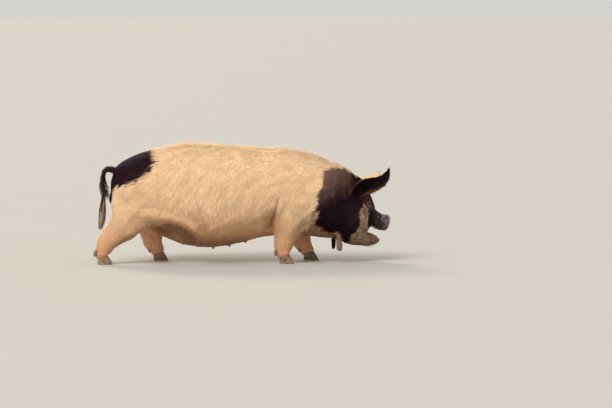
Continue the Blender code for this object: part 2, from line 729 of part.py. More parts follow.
def ear_form(name, side):
    rows = catmull_rom([(*place, width, curl) for place, width, curl in EAR], EAR_ROWS)
    centres = rows[:, :3].copy()
    if side > 0:
        lift = np.linspace(0, 1, EAR_ROWS)[:, None]
        centres += lift * np.array(LEFT_EAR_LIFT)
    centres[:, 1] *= side
    along = np.gradient(centres, axis=0)
    along /= np.linalg.norm(along, axis=1)[:, None]
    faces_to = np.array(EAR_FACES, float) * (1, side, 1)
    inner, outer = [], []
    for row, (centre, way) in enumerate(zip(centres, along)):
        towards = faces_to - way * (faces_to @ way)
        towards /= np.linalg.norm(towards)
        across = np.cross(way, towards)
        width, curl = rows[row, 3], math.radians(rows[row, 4])
        radius = width / math.sin(min(curl, math.pi / 2))
        angle = np.linspace(-curl, curl, EAR_COLUMNS)[:, None]
        away = across * np.sin(angle) - towards * np.cos(angle)
        hollow = centre + towards * radius + away * radius
        share = row / (EAR_ROWS - 1)
        thick = EAR_THICK_ROOT * (1 - share) + EAR_THICK_TIP * share
        thin_edge = 1 - 0.35 * np.abs(np.linspace(-1, 1, EAR_COLUMNS))[:, None] ** 3
        inner.append(hollow)
        outer.append(hollow + away * thick * thin_edge)
    sheets = np.array([inner, outer])
    points = sheets.reshape(-1, 3)
    size = EAR_ROWS * EAR_COLUMNS

    def corner(sheet, row, column):
        return sheet * size + row * EAR_COLUMNS + column

    quads = []
    for row in range(EAR_ROWS - 1):
        for column in range(EAR_COLUMNS - 1):
            for sheet in (0, 1):
                places = [(row, column), (row + 1, column), (row + 1, column + 1), (row, column + 1)]
                quads.append([corner(sheet, *place) for place in places])
        for column in (0, EAR_COLUMNS - 1):
            ends = [(0, row), (0, row + 1), (1, row + 1), (1, row)]
            quads.append([corner(sheet, place, column) for sheet, place in ends])
    for column in range(EAR_COLUMNS - 1):
        for row in (0, EAR_ROWS - 1):
            ends = [(0, column), (0, column + 1), (1, column + 1), (1, column)]
            quads.append([corner(sheet, row, place) for sheet, place in ends])
    ear = mesh_object(name, points, quads)
    face_outward(ear)
    split_evenly(ear)
    return ear


def split_evenly(obj):
    work = bmesh.new()
    work.from_mesh(obj.data)
    bmesh.ops.triangulate(work, faces=work.faces, quad_method="SHORT_EDGE")
    work.to_mesh(obj.data)
    work.free()


def build_flesh():
    """The smooth skin of the body, and a finer one of the head, parted at the nape."""
    body = body_pieces()
    bend_all(body)
    body = rounded(fused("body", body), BODY_VOXEL, 10, BODY_TRIANGLES, hollow_under_folds)

    head = head_pieces()
    bend_all(head)
    head = fused("head", head)
    behind = box("behind", (-1, -1, -1), (0.42, 1, 1.5))
    boolean(head, behind, "DIFFERENCE")
    remove(behind)
    gape = section_loft("gape", GAPE, 40, 24)
    nostrils = []
    x, y, z = NOSTRIL["centre"]
    for side in (1, -1):
        nostrils.append(ellipsoid(f"nostril{side}", (x, y * side, z), NOSTRIL["radii"], 16, 10))
    cutters = [gape, *nostrils]
    bend_all(cutters)
    for cutter in cutters:
        boolean(head, cutter, "DIFFERENCE")
    remove(*cutters)
    head = rounded(head, HEAD_VOXEL, 3, HEAD_TRIANGLES)

    point, normal = HEAD_PARTING
    point = turned(point)[0]
    normal = Matrix.Rotation(HEAD_TURN / 2, 3, "Z") @ Vector(normal).normalized()
    ahead = slab("ahead", point, normal, -GAP / 2)
    boolean(head, ahead, "INTERSECT")
    remove(ahead)
    ahead = slab("ahead", point, normal, GAP / 2)
    boolean(body, ahead, "DIFFERENCE")
    remove(ahead)
    return largest_only(body), largest_only(head)


def seat_eyes(head):
    """Both eyeballs in sockets, with the lids' almond opened over each."""
    eyes = []
    for side, name in ((-1, "eye_right"), (1, "eye_left")):
        centre = (EYE_CENTRE[0], EYE_CENTRE[1] * side, EYE_CENTRE[2])
        eye = ellipsoid(name, turned(centre)[0], (EYE_RADIUS,) * 3, 14, 8)
        opening = eye_opening(side)
        bend_all([opening])
        boolean(head, opening, "DIFFERENCE")
        remove(opening)
        clear_of(head, eye)
        eyes.append(eye)
    return eyes


def hoof_form(name, toe_x, y, heading, length, width, height):
    """One claw with a flat sole, a sloping front wall and a pointed toe."""
    rings = []
    sides = HOOF_SIDES
    angle = np.linspace(0, 2 * math.pi, sides, endpoint=False)
    for share, reach, spread, set_back in HOOF_RINGS:
        fore = np.cos(angle)
        point = np.sign(np.sin(angle)) * np.abs(np.sin(angle)) ** (1 + 0.35 * (fore > 0))
        x = toe_x - length / 2 - set_back * length + reach * length / 2 * fore
        rings.append(np.stack([x, y + spread * width / 2 * point, np.full(sides, share * height)], 1))
    hoof = tube(name, rings)
    place = Matrix.Translation((toe_x - length / 2, y, 0))
    hoof.data.transform(place @ Matrix.Rotation(heading, 4, "Z") @ place.inverted())
    return hoof


def build_feet(legs):
    """Two claws and two dewclaws for each leg, and the leg cut clear of them."""
    feet = []
    for foot, (toe_x, y, back_x) in FEET.items():
        leg = legs[foot]
        for place, side in (("inner", -1), ("outer", 1)):
            across = y + side * math.copysign(CLAW_SPREAD, y)
            heading = side * math.copysign(CLAW_SPLAY, y)
            name = f"hoof_{foot.replace('_leg', '')}_{place}"
            claw = hoof_form(name, toe_x, across, heading, HOOF_LENGTH, HOOF_WIDTH, HOOF_HEIGHT)
            name = f"dewclaw_{foot.replace('_leg', '')}_{place}"
            centre = (back_x, y + side * DEWCLAW_SPREAD, DEWCLAW_HEIGHT)
            dew = ellipsoid(name, centre, DEWCLAW_RADII, 8, 6, DEWCLAW_LEAN)
            clear_of(leg, claw)
            clear_of(leg, dew)
            feet += [claw, dew]
        largest_only(leg)
    return feet


def lock(name, path, side, width, thickness):
    """A flat tapered lock, ridged above, along a path that ends at its tip; side is the way it is wide."""
    path = [Vector(p) for p in path]
    side = Vector(side).normalized()
    points, faces = [], []
    for share, (w, t) in enumerate(LOCK_TAPER):
        along = (path[share + 1] - path[max(share - 1, 0)]).normalized()
        flat = (side - along * side.dot(along)).normalized()
        up = along.cross(flat)
        centre = path[share]
        wide, thick = flat * width * w / 2, up * thickness * t / 2
        points += [centre + wide, centre + thick * 2, centre - wide]
    points.append(path[-1])
    last = len(points) - 1
    for ring in range(0, 3 * len(LOCK_TAPER) - 3, 3):
        for k in range(3):
            n = (k + 1) % 3
            faces.append((ring + k, ring + n, ring + 3 + n, ring + 3 + k))
    for k in range(3):
        faces.append((last - 3 + k, last - 3 + (k + 1) % 3, last))
    faces.append((0, 1, 2))
    made = mesh_object(name, points, faces)
    face_outward(made)
    split_evenly(made)
    return made


def surface_of(obj):
    work = bmesh.new()
    work.from_mesh(obj.data)
    tree = BVHTree.FromBMesh(work)
    work.free()
    return tree


def crest_locks(body, draw):
    """Bristles in staggered rows along the back, lying towards the tail."""
    tree = surface_of(body)
    stand_x, stand = zip(*CREST_STAND)
    locks = []
    count = round((CREST_TO - CREST_FROM) / CREST_STEP)
    for row in range(CREST_ROWS):
        across = (row / (CREST_ROWS - 1) - 0.5) * 2
        for number in range(count):
            x = CREST_FROM + (number + 0.5 * (row % 2) + draw.uniform(-0.2, 0.2)) * CREST_STEP
            y = across * CREST_SPREAD + draw.uniform(-CREST_STRAY, CREST_STRAY)
            length = CREST_LENGTH * draw.uniform(*CREST_VARIES)
            for cut in (BARREL_FROM, SHOULDERS_FROM, NECK_FROM):
                at = cut + (NECK_CUT_LEAN if cut == NECK_FROM else 0.0)
                if x - length - CUT_MARGIN < at < x + CUT_MARGIN:
                    ahead = x - at > length / 2
                    x = at + length + CUT_MARGIN if ahead else at - CUT_MARGIN
            place = turned((x, y, 0))[0]
            hit, normal, _, _ = tree.ray_cast(Vector((place[0], place[1], 1.0)), Vector((0, 0, -1)))
            if hit is None:
                continue
            height = float(np.interp(x, stand_x, stand)) * draw.uniform(0.7, 1.3) * (1 - 0.45 * abs(across))
            back = Vector((-1, draw.uniform(-0.25, 0.25) + CREST_FAN * across, 0))
            back = (back - normal * back.dot(normal)).normalized()
            path = [hit - normal * LOCK_SUNK + back * CUT_MARGIN]
            for share in CREST_STEPS:
                step = hit + back * length * share
                below, face, _, _ = tree.ray_cast(Vector((step.x, step.y, 1.0)), Vector((0, 0, -1)))
                if below is not None:
                    step = Vector((step.x, step.y, below.z))
                path.append(step + normal * (CREST_OFF + height * share**1.4))
            side = normal.cross(back)
            width = CREST_WIDTH * draw.uniform(*CREST_VARIES)
            locks.append(lock(f"crest{row}_{number}", path, side, width, CREST_THICK))
    return locks


def teats(body):
    tree = surface_of(body)
    made = []
    for number, x in enumerate(TEAT_PLACES):
        for side in (1, -1):
            y = TEAT_SPREAD * side
            hit, normal, _, _ = tree.ray_cast(Vector((x, y, -0.5)), Vector((0, 0, 1)))
            if hit is None:
                continue
            out = (normal + Vector((0, 0, -TEAT_HANG))).normalized()
            path = [hit - out * TEAT_SUNK] + [hit + out * TEAT_LENGTH * reach for reach, _ in TEAT_STEPS]
            radii = [TEAT_RADIUS * share for share in (TEAT_ROOT_SWELL, *(wide for _, wide in TEAT_STEPS))]
            made.append(round_tube(f"teat{number}_{side}", path, radii, TEAT_SIDES))
    return made


def tail_bristles(rows, draw):
    """Dark bristles that splay back from the hanging part of the tail."""
    locks = []
    for number in range(TAIL_BRISTLES):
        share = BRISTLES_FROM + (BRISTLES_TO - BRISTLES_FROM) * (number + 0.5) / TAIL_BRISTLES
        at = share * TAIL_PARTING_ROW
        low = int(at)
        centre = Vector(rows[low, :3]).lerp(Vector(rows[low + 1, :3]), at - low)
        along = Vector(rows[low + 1, :3] - rows[low, :3]).normalized()
        turn = number * GOLDEN_TURN
        out = Vector((-0.75 - 0.45 * math.cos(turn), 0.85 * math.sin(turn), 0))
        out = (out - along * out.dot(along)).normalized()
        length = BRISTLE_LENGTH * draw.uniform(0.8, 1.15)
        path = [centre]
        for down, away in BRISTLE_STEPS:
            path.append(centre + out * length * away + along * length * down)
        locks.append(lock(f"bristle{number}", path, along.cross(out), BRISTLE_WIDTH, TASSEL_THICK))
    return locks


def tassel(rows, draw):
    """The hanging hair at the tail's end, which closes to a point."""
    locks = []
    end = Vector(TASSEL_END)
    for number in range(TASSEL_LOCKS):
        share = number / (TASSEL_LOCKS - 1)
        at = TAIL_PARTING_ROW + 1.2 + share * (len(rows) - TAIL_PARTING_ROW - 3.2)
        low = int(at)
        centre = Vector(rows[low, :3]).lerp(Vector(rows[low + 1, :3]), at - low)
        turn = number * GOLDEN_TURN
        out = Vector((math.cos(turn), math.sin(turn), 0))
        spread = TASSEL_SPREAD * draw.uniform(0.8, 1.1)
        ragged = draw.uniform(0.0, TASSEL_RAGGED) * (1 - 0.6 * share)
        tip = end + out * TASSEL_SPREAD + Vector((0, 0, ragged))
        path = [centre + Vector((0, 0, TASSEL_THICK))]
        for step, wide in TASSEL_STEPS:
            path.append(centre.lerp(tip, step) + out * spread * wide)
        path.append(tip)
        side = Vector((0, 0, 1)).cross(out)
        width = TASSEL_WIDTH * draw.uniform(*CREST_VARIES)
        locks.append(lock(f"tassel{number}", path, side, width, TASSEL_THICK))
    return locks


def build_tail(rump, draw):
    rows = catmull_rom([(*place, radius) for place, radius in TAIL], TAIL_RINGS)
    core = round_tube("tail", rows[:, :3], rows[:, 3], TAIL_SIDES)
    tail = fused("tail", [core, *tail_bristles(rows, draw)])
    clear_of(tail, rump)
    largest_only(tail)

    def below(extra):
        return box("below", (-1.0, -0.3, -0.3), (-0.5, 0.3, TAIL_PARTING + extra))

    switch = part_off(tail, "tail_switch", below)
    largest_only(tail)
    switch = fused("tail_switch", [switch, *tassel(rows, draw)])
    return [tail, largest_only(switch)]


def build_wattles(head, neck):
    wattles = []
    for name, (place, swing) in WATTLES.items():
        share = np.linspace(0, 1, WATTLE_RINGS)
        path = np.array(place) + share[:, None] * (swing, 0, -WATTLE_LENGTH)
        path[:, 0] += np.sin(share * math.pi) * swing * 0.4
        path[:, 1] += np.sin(share * math.pi / 2) * math.copysign(WATTLE_FLARE, place[1])
        radii = WATTLE_RADIUS * np.interp(share, *zip(*WATTLE_SWELL))
        wattle = round_tube(name, turned(path), radii, WATTLE_SIDES, WATTLE_FLATTEN)
        clear_of(wattle, head)
        clear_of(wattle, neck)
        wattles.append(largest_only(wattle))
    return wattles


def paint(obj):
    colour, roughness = next(look for start, look in LOOKS if obj.name.startswith(start))
    material = bpy.data.materials.new(obj.name + "_material")
    material.use_nodes = True
    shader = material.node_tree.nodes["Principled BSDF"]
    shader.inputs["Base Color"].default_value = (*colour, 1)
    shader.inputs["Roughness"].default_value = roughness
    shader.inputs["Metallic"].default_value = 0.0
    obj.data.materials.clear()
    obj.data.materials.append(material)
    obj.data.polygons.foreach_set("use_smooth", [True] * len(obj.data.polygons))
    obj.data.set_sharp_from_angle(angle=SHARP_FROM)
    obj.data.polygons.foreach_set("material_index", [0] * len(obj.data.polygons))


def stand_on_origin(objects):
    """Brings the middle of the whole pig's box over the origin, with the soles on the floor."""
    points = np.vstack([[v.co for v in obj.data.vertices] for obj in objects])
    low, high = points.min(0), points.max(0)
    shift = Matrix.Translation((-(low[0] + high[0]) / 2, -(low[1] + high[1]) / 2, -low[2]))
    for obj in objects:
        obj.data.transform(shift)
    return shift.translation


def main():
    remove(*list(bpy.data.objects))
    draw = random.Random(SEED)
    body, head = build_flesh()
    body = largest_only(fused("body", [body, *crest_locks(body, draw), *teats(body)]))
    parts = seat_eyes(head)

    tongue = section_loft("tongue", TONGUE, 8, 12)
    bend_all([tongue])
    clear_of(head, tongue)
    largest_only(head)
    parts.append(tongue)
    for name, (low, high, slope) in HEAD_PARTS.items():
        parts.append(part_off(head, name, lambda extra: head_block("cutter", low, high, slope, extra)))
    largest_only(head)
    for side, name in ((-1, "ear_right"), (1, "ear_left")):
        ear = ear_form(name, side)
        bend_all([ear])
        parts.append(largest_only(clear_of(ear, head)))
    parts.append(head)

    legs = {}
    for name, (side, behind, ahead, inner, outer) in LEG_BLOCKS.items():
        block = (side, behind, ahead, inner, outer)
        legs[name] = part_off(body, name, lambda extra: leg_block("cutter", *block, extra))
    parts += build_feet(legs)
    parts += legs.values()
    for name, (along, normal) in TRUNK_PARTINGS.items():
        parts.append(part_off(body, name, lambda extra: slab("cutter", (along, 0, 0.3), normal, extra)))
    neck = next(obj for obj in parts if obj.name == "neck")
    rump = largest_only(body)
    rump.name = "rump"
    parts.append(rump)
    parts += build_tail(rump, draw)
    parts += build_wattles(head, neck)
    shift = stand_on_origin(parts)
    for obj in parts:
        paint(obj)
    return shift


SHIFT = main()
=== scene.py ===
"""A stocky hairy sow with throat wattles, dressed as a museum's life-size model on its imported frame.

One skin replaces the solids of flesh and lies inside them by the depth of the coat. Tufts of solid
mesh grow from it along the lie of the hair. Eyes, lids, tongue and claws are pieces of their own.
Lengths are in metres, the nose points towards +X, the right flank towards -Y and the floor is Z = 0.
"""

import functools
import math

import bpy
import numpy as np
from bpy.props import FloatProperty, FloatVectorProperty, IntProperty, PointerProperty
from mathutils import Matrix, Vector
from mathutils.bvhtree import BVHTree
from mathutils.kdtree import KDTree


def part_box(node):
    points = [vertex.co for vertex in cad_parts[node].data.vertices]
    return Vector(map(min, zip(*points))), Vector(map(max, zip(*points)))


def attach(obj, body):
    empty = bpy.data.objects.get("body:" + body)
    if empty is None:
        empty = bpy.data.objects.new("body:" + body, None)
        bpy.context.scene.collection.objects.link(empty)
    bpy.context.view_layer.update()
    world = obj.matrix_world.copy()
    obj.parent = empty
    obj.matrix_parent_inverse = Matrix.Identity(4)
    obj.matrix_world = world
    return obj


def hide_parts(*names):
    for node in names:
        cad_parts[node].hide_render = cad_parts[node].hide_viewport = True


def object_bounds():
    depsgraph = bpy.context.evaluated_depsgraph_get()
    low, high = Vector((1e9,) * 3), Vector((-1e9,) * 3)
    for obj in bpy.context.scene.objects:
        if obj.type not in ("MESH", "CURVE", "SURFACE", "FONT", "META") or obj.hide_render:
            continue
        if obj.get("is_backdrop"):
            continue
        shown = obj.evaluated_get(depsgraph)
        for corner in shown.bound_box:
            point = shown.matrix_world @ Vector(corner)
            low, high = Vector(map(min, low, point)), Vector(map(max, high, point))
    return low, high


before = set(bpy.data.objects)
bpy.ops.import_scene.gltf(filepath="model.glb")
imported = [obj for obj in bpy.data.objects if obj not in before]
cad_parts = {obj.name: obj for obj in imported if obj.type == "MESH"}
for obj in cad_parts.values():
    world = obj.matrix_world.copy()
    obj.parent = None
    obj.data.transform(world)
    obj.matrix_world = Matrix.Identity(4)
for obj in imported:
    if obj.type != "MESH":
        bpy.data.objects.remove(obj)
CAD_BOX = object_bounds()

bl_info = {
    "name": "Museum sow",
    "version": (1, 0, 0),
    "blender": (4, 5, 0),
    "location": "3D View > Sidebar > Sow",
    "description": "Skin, hairy coat, claws, eyes and mouth for a life-size sow",
    "category": "Object",
}

# The pose: the neck bends between two places along the straight animal.
HEAD_TURN = math.radians(9)
TURN_STARTS, TURN_ENDS = 0.44, 0.62

# Sections of the trunk, from the rump along the back to the brow: place along X, top line, under
# line, half width, height of the widest point as a share of the depth, roundness above and below.
TOP, UNDER, HALF, WIDE, BELOW = 1, 2, 3, 4, 6
TRUNK = (
    (-0.620, 0.392, 0.345, 0.020, 0.50, 2.0, 2.0),
    (-0.609, 0.444, 0.285, 0.075, 0.50, 2.0, 2.0),
    (-0.588, 0.478, 0.240, 0.120, 0.50, 2.1, 2.0),
    (-0.550, 0.507, 0.208, 0.155, 0.52, 2.2, 2.0),
    (-0.505, 0.528, 0.190, 0.174, 0.52, 2.2, 2.0),
    (-0.425, 0.556, 0.165, 0.190, 0.50, 2.3, 2.0),
    (-0.350, 0.570, 0.122, 0.200, 0.50, 2.3, 1.9),
    (-0.250, 0.579, 0.086, 0.212, 0.48, 2.3, 2.0),
    (-0.150, 0.583, 0.072, 0.218, 0.46, 2.3, 2.1),
    (-0.050, 0.579, 0.079, 0.217, 0.46, 2.3, 2.2),
    (0.055, 0.574, 0.103, 0.208, 0.46, 2.3, 2.2),
    (0.125, 0.571, 0.120, 0.198, 0.46, 2.2, 2.2),
    (0.200, 0.567, 0.131, 0.188, 0.46, 2.2, 2.2),
    (0.275, 0.561, 0.138, 0.180, 0.45, 2.1, 2.2),
    (0.335, 0.551, 0.134, 0.174, 0.44, 2.0, 2.2),
    (0.395, 0.535, 0.124, 0.170, 0.42, 1.9, 2.2),
    (0.455, 0.513, 0.118, 0.166, 0.38, 1.8, 2.3),
    (0.515, 0.486, 0.112, 0.160, 0.31, 1.6, 2.3),
    (0.575, 0.452, 0.100, 0.150, 0.26, 1.42, 2.3),
    (0.615, 0.427, 0.105, 0.136, 0.23, 1.38, 2.2),
    (0.645, 0.403, 0.130, 0.117, 0.23, 1.42, 2.0),
    (0.668, 0.368, 0.156, 0.099, 0.28, 1.55, 2.0),
    (0.684, 0.322, 0.170, 0.082, 0.40, 1.8, 2.0),
    (0.696, 0.290, 0.182, 0.059, 0.50, 2.0, 2.0),
    (0.702, 0.265, 0.205, 0.030, 0.50, 2.0, 2.0),
)
MUZZLE = (
    (0.610, 0.310, 0.160, 0.118, 0.46, 1.9, 2.2),
    (0.650, 0.298, 0.168, 0.104, 0.44, 1.9, 2.2),
    (0.685, 0.276, 0.166, 0.084, 0.42, 1.9, 2.2),
    (0.710, 0.253, 0.156, 0.066, 0.40, 2.0, 2.3),
    (0.732, 0.237, 0.149, 0.054, 0.42, 2.2, 2.3),
    (0.748, 0.230, 0.149, 0.047, 0.48, 2.2, 2.2),
    (0.757, 0.231, 0.148, 0.0485, 0.48, 2.2, 2.2),
    (0.766, 0.231, 0.149, 0.0485, 0.48, 2.2, 2.2),
    (0.773, 0.227, 0.153, 0.0445, 0.48, 2.2, 2.2),
)
DISC_LEAN, DISC_HEIGHT, DISC_RADII = 0.22, 0.190, (0.0445, 0.038)
JAW = (
    (0.545, 0.180, 0.094, 0.090, 0.50, 2.0, 2.2),
    (0.585, 0.185, 0.084, 0.094, 0.50, 2.0, 2.2),
    (0.625, 0.180, 0.079, 0.084, 0.50, 2.0, 2.2),
    (0.652, 0.166, 0.076, 0.069, 0.50, 2.2, 2.2),
    (0.672, 0.146, 0.076, 0.056, 0.50, 2.3, 2.2),
    (0.690, 0.126, 0.080, 0.046, 0.50, 2.3, 2.2),
    (0.710, 0.116, 0.087, 0.037, 0.52, 2.3, 2.2),
    (0.724, 0.112, 0.095, 0.026, 0.52, 2.2, 2.2),
    (0.731, 0.108, 0.101, 0.012, 0.52, 2.0, 2.0),
)
GAPE = (
    (0.622, 0.150, 0.140, 0.010, 0.50, 2.0, 2.0),
    (0.640, 0.166, 0.134, 0.030, 0.50, 2.2, 2.2),
    (0.658, 0.177, 0.140, 0.046, 0.50, 2.4, 2.4),
    (0.670, 0.180, 0.140, 0.088, 0.50, 3.0, 3.0),
    (0.690, 0.172, 0.126, 0.095, 0.50, 3.0, 3.0),
    (0.714, 0.157, 0.114, 0.095, 0.50, 3.0, 3.0),
    (0.760, 0.148, 0.100, 0.095, 0.50, 3.0, 3.0),
    (0.800, 0.144, 0.085, 0.095, 0.50, 3.0, 3.0),
)
TONGUE = (
    (0.640, 0.135, 0.105, 0.018, 0.50, 2.0, 2.0),
    (0.655, 0.146, 0.100, 0.026, 0.50, 2.0, 2.0),
    (0.680, 0.141, 0.098, 0.029, 0.50, 2.0, 2.0),
    (0.702, 0.131, 0.098, 0.025, 0.50, 2.0, 2.0),
    (0.716, 0.124, 0.101, 0.017, 0.50, 2.0, 2.0),
    (0.722, 0.117, 0.107, 0.006, 0.50, 2.0, 2.0),
)
# Where the hide turns into bare snout along X, slowly and then fast, and between which heights.
BARE_SLOW, BARE_FAST, BARE_HIGH = (0.668, 0.722), (0.724, 0.746), (0.138, 0.148, 0.270, 0.300)
NOSTRIL_CENTRE, NOSTRIL_RADII = (0.774, 0.0185, 0.196), (0.024, 0.0085, 0.0105)
EYE_CENTRE, EYE_RADIUS = (0.655, 0.0715, 0.286), 0.015
EYE_LOOKS, EYE_SLANT = (0.42, 0.90, 0.06), -0.42
# The lids' almond on the eyeball: half its length, its reach above and below, in radians.
LID_HALF, LID_ABOVE, LID_BELOW, LID_THICK, LID_ROUND = 0.88, 0.54, 0.42, 0.0028, 1.15
# The opening in the skin round them: radii ahead, up and outwards, and how far out its middle is.
ALMOND_RADII, ALMOND_OUT = (0.0145, 0.0088, 0.013), 0.0165

# Sections down each leg: X, Z, distance from the middle plane, half depth, half width.
LEGS = {
    "hind_right": (
        (-0.505, 0.385, -0.075, 0.100, 0.070),
        (-0.512, 0.300, -0.098, 0.108, 0.074),
        (-0.522, 0.238, -0.110, 0.102, 0.068),
        (-0.552, 0.188, -0.118, 0.082, 0.058),
        (-0.592, 0.152, -0.124, 0.064, 0.048),
        (-0.628, 0.122, -0.128, 0.053, 0.041),
        (-0.650, 0.086, -0.130, 0.044, 0.035),
        (-0.662, 0.056, -0.132, 0.0375, 0.0350),
        (-0.656, 0.039, -0.132, 0.0330, 0.0315),
    ),
    "hind_left": (
        (-0.480, 0.385, 0.075, 0.100, 0.070),
        (-0.462, 0.300, 0.098, 0.108, 0.074),
        (-0.436, 0.230, 0.110, 0.092, 0.066),
        (-0.418, 0.172, 0.118, 0.073, 0.055),
        (-0.414, 0.124, 0.124, 0.056, 0.043),
        (-0.407, 0.084, 0.126, 0.045, 0.035),
        (-0.392, 0.056, 0.128, 0.0375, 0.0350),
        (-0.380, 0.039, 0.128, 0.0330, 0.0315),
    ),
    "fore_right": (
        (0.300, 0.385, -0.085, 0.095, 0.055),
        (0.285, 0.300, -0.108, 0.100, 0.064),
        (0.268, 0.228, -0.118, 0.088, 0.062),
        (0.254, 0.172, -0.122, 0.072, 0.053),
        (0.243, 0.128, -0.124, 0.058, 0.045),
        (0.236, 0.088, -0.126, 0.047, 0.041),
        (0.234, 0.058, -0.126, 0.0375, 0.0350),
        (0.242, 0.039, -0.126, 0.0330, 0.0315),
    ),
    "fore_left": (
        (0.310, 0.385, 0.085, 0.095, 0.055),
        (0.308, 0.300, 0.108, 0.098, 0.064),
        (0.310, 0.228, 0.118, 0.084, 0.062),
        (0.320, 0.165, 0.122, 0.066, 0.052),
        (0.332, 0.118, 0.124, 0.053, 0.045),
        (0.344, 0.084, 0.126, 0.045, 0.041),
        (0.361, 0.056, 0.126, 0.0375, 0.0350),
        (0.375, 0.039, 0.126, 0.0330, 0.0315),
    ),
}
# Each foot: the tips of its claws, its middle across, and where its dewclaws sit.
FEET = {
    "hind_right": (-0.612, -0.132, -0.694),
    "hind_left": (-0.334, 0.128, -0.420),
    "fore_right": (0.289, -0.126, 0.202),
    "fore_left": (0.423, 0.126, 0.334),
}
CLAW_LENGTH, CLAW_WIDTH, CLAW_HEIGHT = 0.072, 0.032, 0.040
CLAW_SPREAD, CLAW_SPLAY, CLAW_SIDES = 0.0195, math.radians(5), 40
TOE_BACK, TOE_HEIGHT, TOE_RADII = 0.050, 0.052, (0.031, 0.0165, 0.017)
# Up a claw from its sole: height, length, width and how far back, as shares of the claw's own sizes.
CLAW_RINGS = (
    (0.00, 0.93, 0.90, 0.000),
    (0.05, 0.99, 0.99, 0.000),
    (0.12, 1.00, 1.00, 0.004),
    (0.35, 0.925, 0.985, 0.040),
    (0.60, 0.845, 0.955, 0.075),
    (0.82, 0.765, 0.900, 0.105),
    (0.96, 0.700, 0.820, 0.130),
    (1.08, 0.360, 0.400, 0.140),
)
SPUR_SPREAD, SPUR_HEIGHT, SPUR_LEAN, SPUR_RADII = 0.019, 0.056, 0.5, (0.012, 0.0092, 0.0195)

# Rounded forms laid over the trunk and head: centre on the left side, radii, on both sides or not.
SWELLS = (
    ((0.285, 0.118, 0.330), (0.120, 0.062, 0.150), True),
    ((-0.480, 0.110, 0.340), (0.120, 0.072, 0.130), True),
    ((0.560, 0.092, 0.185), (0.075, 0.066, 0.082), True),
    ((-0.602, 0.000, 0.396), (0.020, 0.022, 0.020), False),
    ((-0.604, 0.000, 0.318), (0.028, 0.020, 0.040), False),
    ((-0.578, 0.000, 0.270), (0.030, 0.018, 0.050), False),
    ((0.648, 0.067, 0.306), (0.030, 0.013, 0.010), True),
    ((0.655, 0.0715, 0.286), (0.019, 0.019, 0.019), True),
)
FLANK_FOLD = (
    (-0.520, 0.115, 0.262, 0.050),
    (-0.465, 0.132, 0.252, 0.047),
    (-0.410, 0.141, 0.247, 0.042),
    (-0.355, 0.148, 0.248, 0.038),
    (-0.300, 0.153, 0.240, 0.037),
    (-0.245, 0.156, 0.216, 0.036),
    (-0.200, 0.150, 0.184, 0.036),
    (-0.160, 0.130, 0.158, 0.034),
    (-0.120, 0.100, 0.140, 0.030),
)
# The ear's middle line on the left side: place, half width, half angle of the curl in degrees.
EAR = (
    (0.572, 0.046, 0.356, 0.028, 118),
    (0.600, 0.074, 0.378, 0.035, 112),
    (0.628, 0.096, 0.389, 0.040, 88),
    (0.660, 0.111, 0.395, 0.039, 66),
    (0.692, 0.121, 0.403, 0.034, 54),
    (0.719, 0.127, 0.419, 0.027, 44),
    (0.738, 0.129, 0.441, 0.016, 34),
    (0.748, 0.129, 0.466, 0.003, 26),
)
EAR_FACES, EAR_LEFT_LIFT = (0.30, 0.88, -0.30), (0.010, 0.000, -0.026)
EAR_ROWS, EAR_COLUMNS = 46, 27
EAR_THICK_ROOT, EAR_THICK_TIP, EAR_REACH = 0.0065, 0.0028, 0.009
# The tail's middle line from its root over the arch and down the switch: place, radius.
TAIL = (
    (-0.575, 0.000, 0.440, 0.0200),
    (-0.600, 0.002, 0.457, 0.0165),
    (-0.625, 0.004, 0.464, 0.0135),
    (-0.646, 0.006, 0.458, 0.0115),
    (-0.656, 0.008, 0.436, 0.0100),
    (-0.659, 0.008, 0.405, 0.0085),
    (-0.656, 0.006, 0.374, 0.0072),
    (-0.652, 0.003, 0.345, 0.0060),
    (-0.651, 0.000, 0.312, 0.0050),
    (-0.654, -0.002, 0.275, 0.0040),
    (-0.658, -0.003, 0.240, 0.0030),
)
WATTLE_LENGTH, WATTLE_RADIUS, WATTLE_FLARE = 0.100, 0.0125, 0.014
WATTLES = (((0.503, -0.108, 0.160), 0.006), ((0.512, 0.090, 0.150), -0.008))
TEAT_PLACES = (-0.335, -0.265, -0.190, -0.110, -0.030, 0.050)
TEAT_SPREAD, TEAT_RADIUS, TEAT_LENGTH = 0.060, 0.0052, 0.011

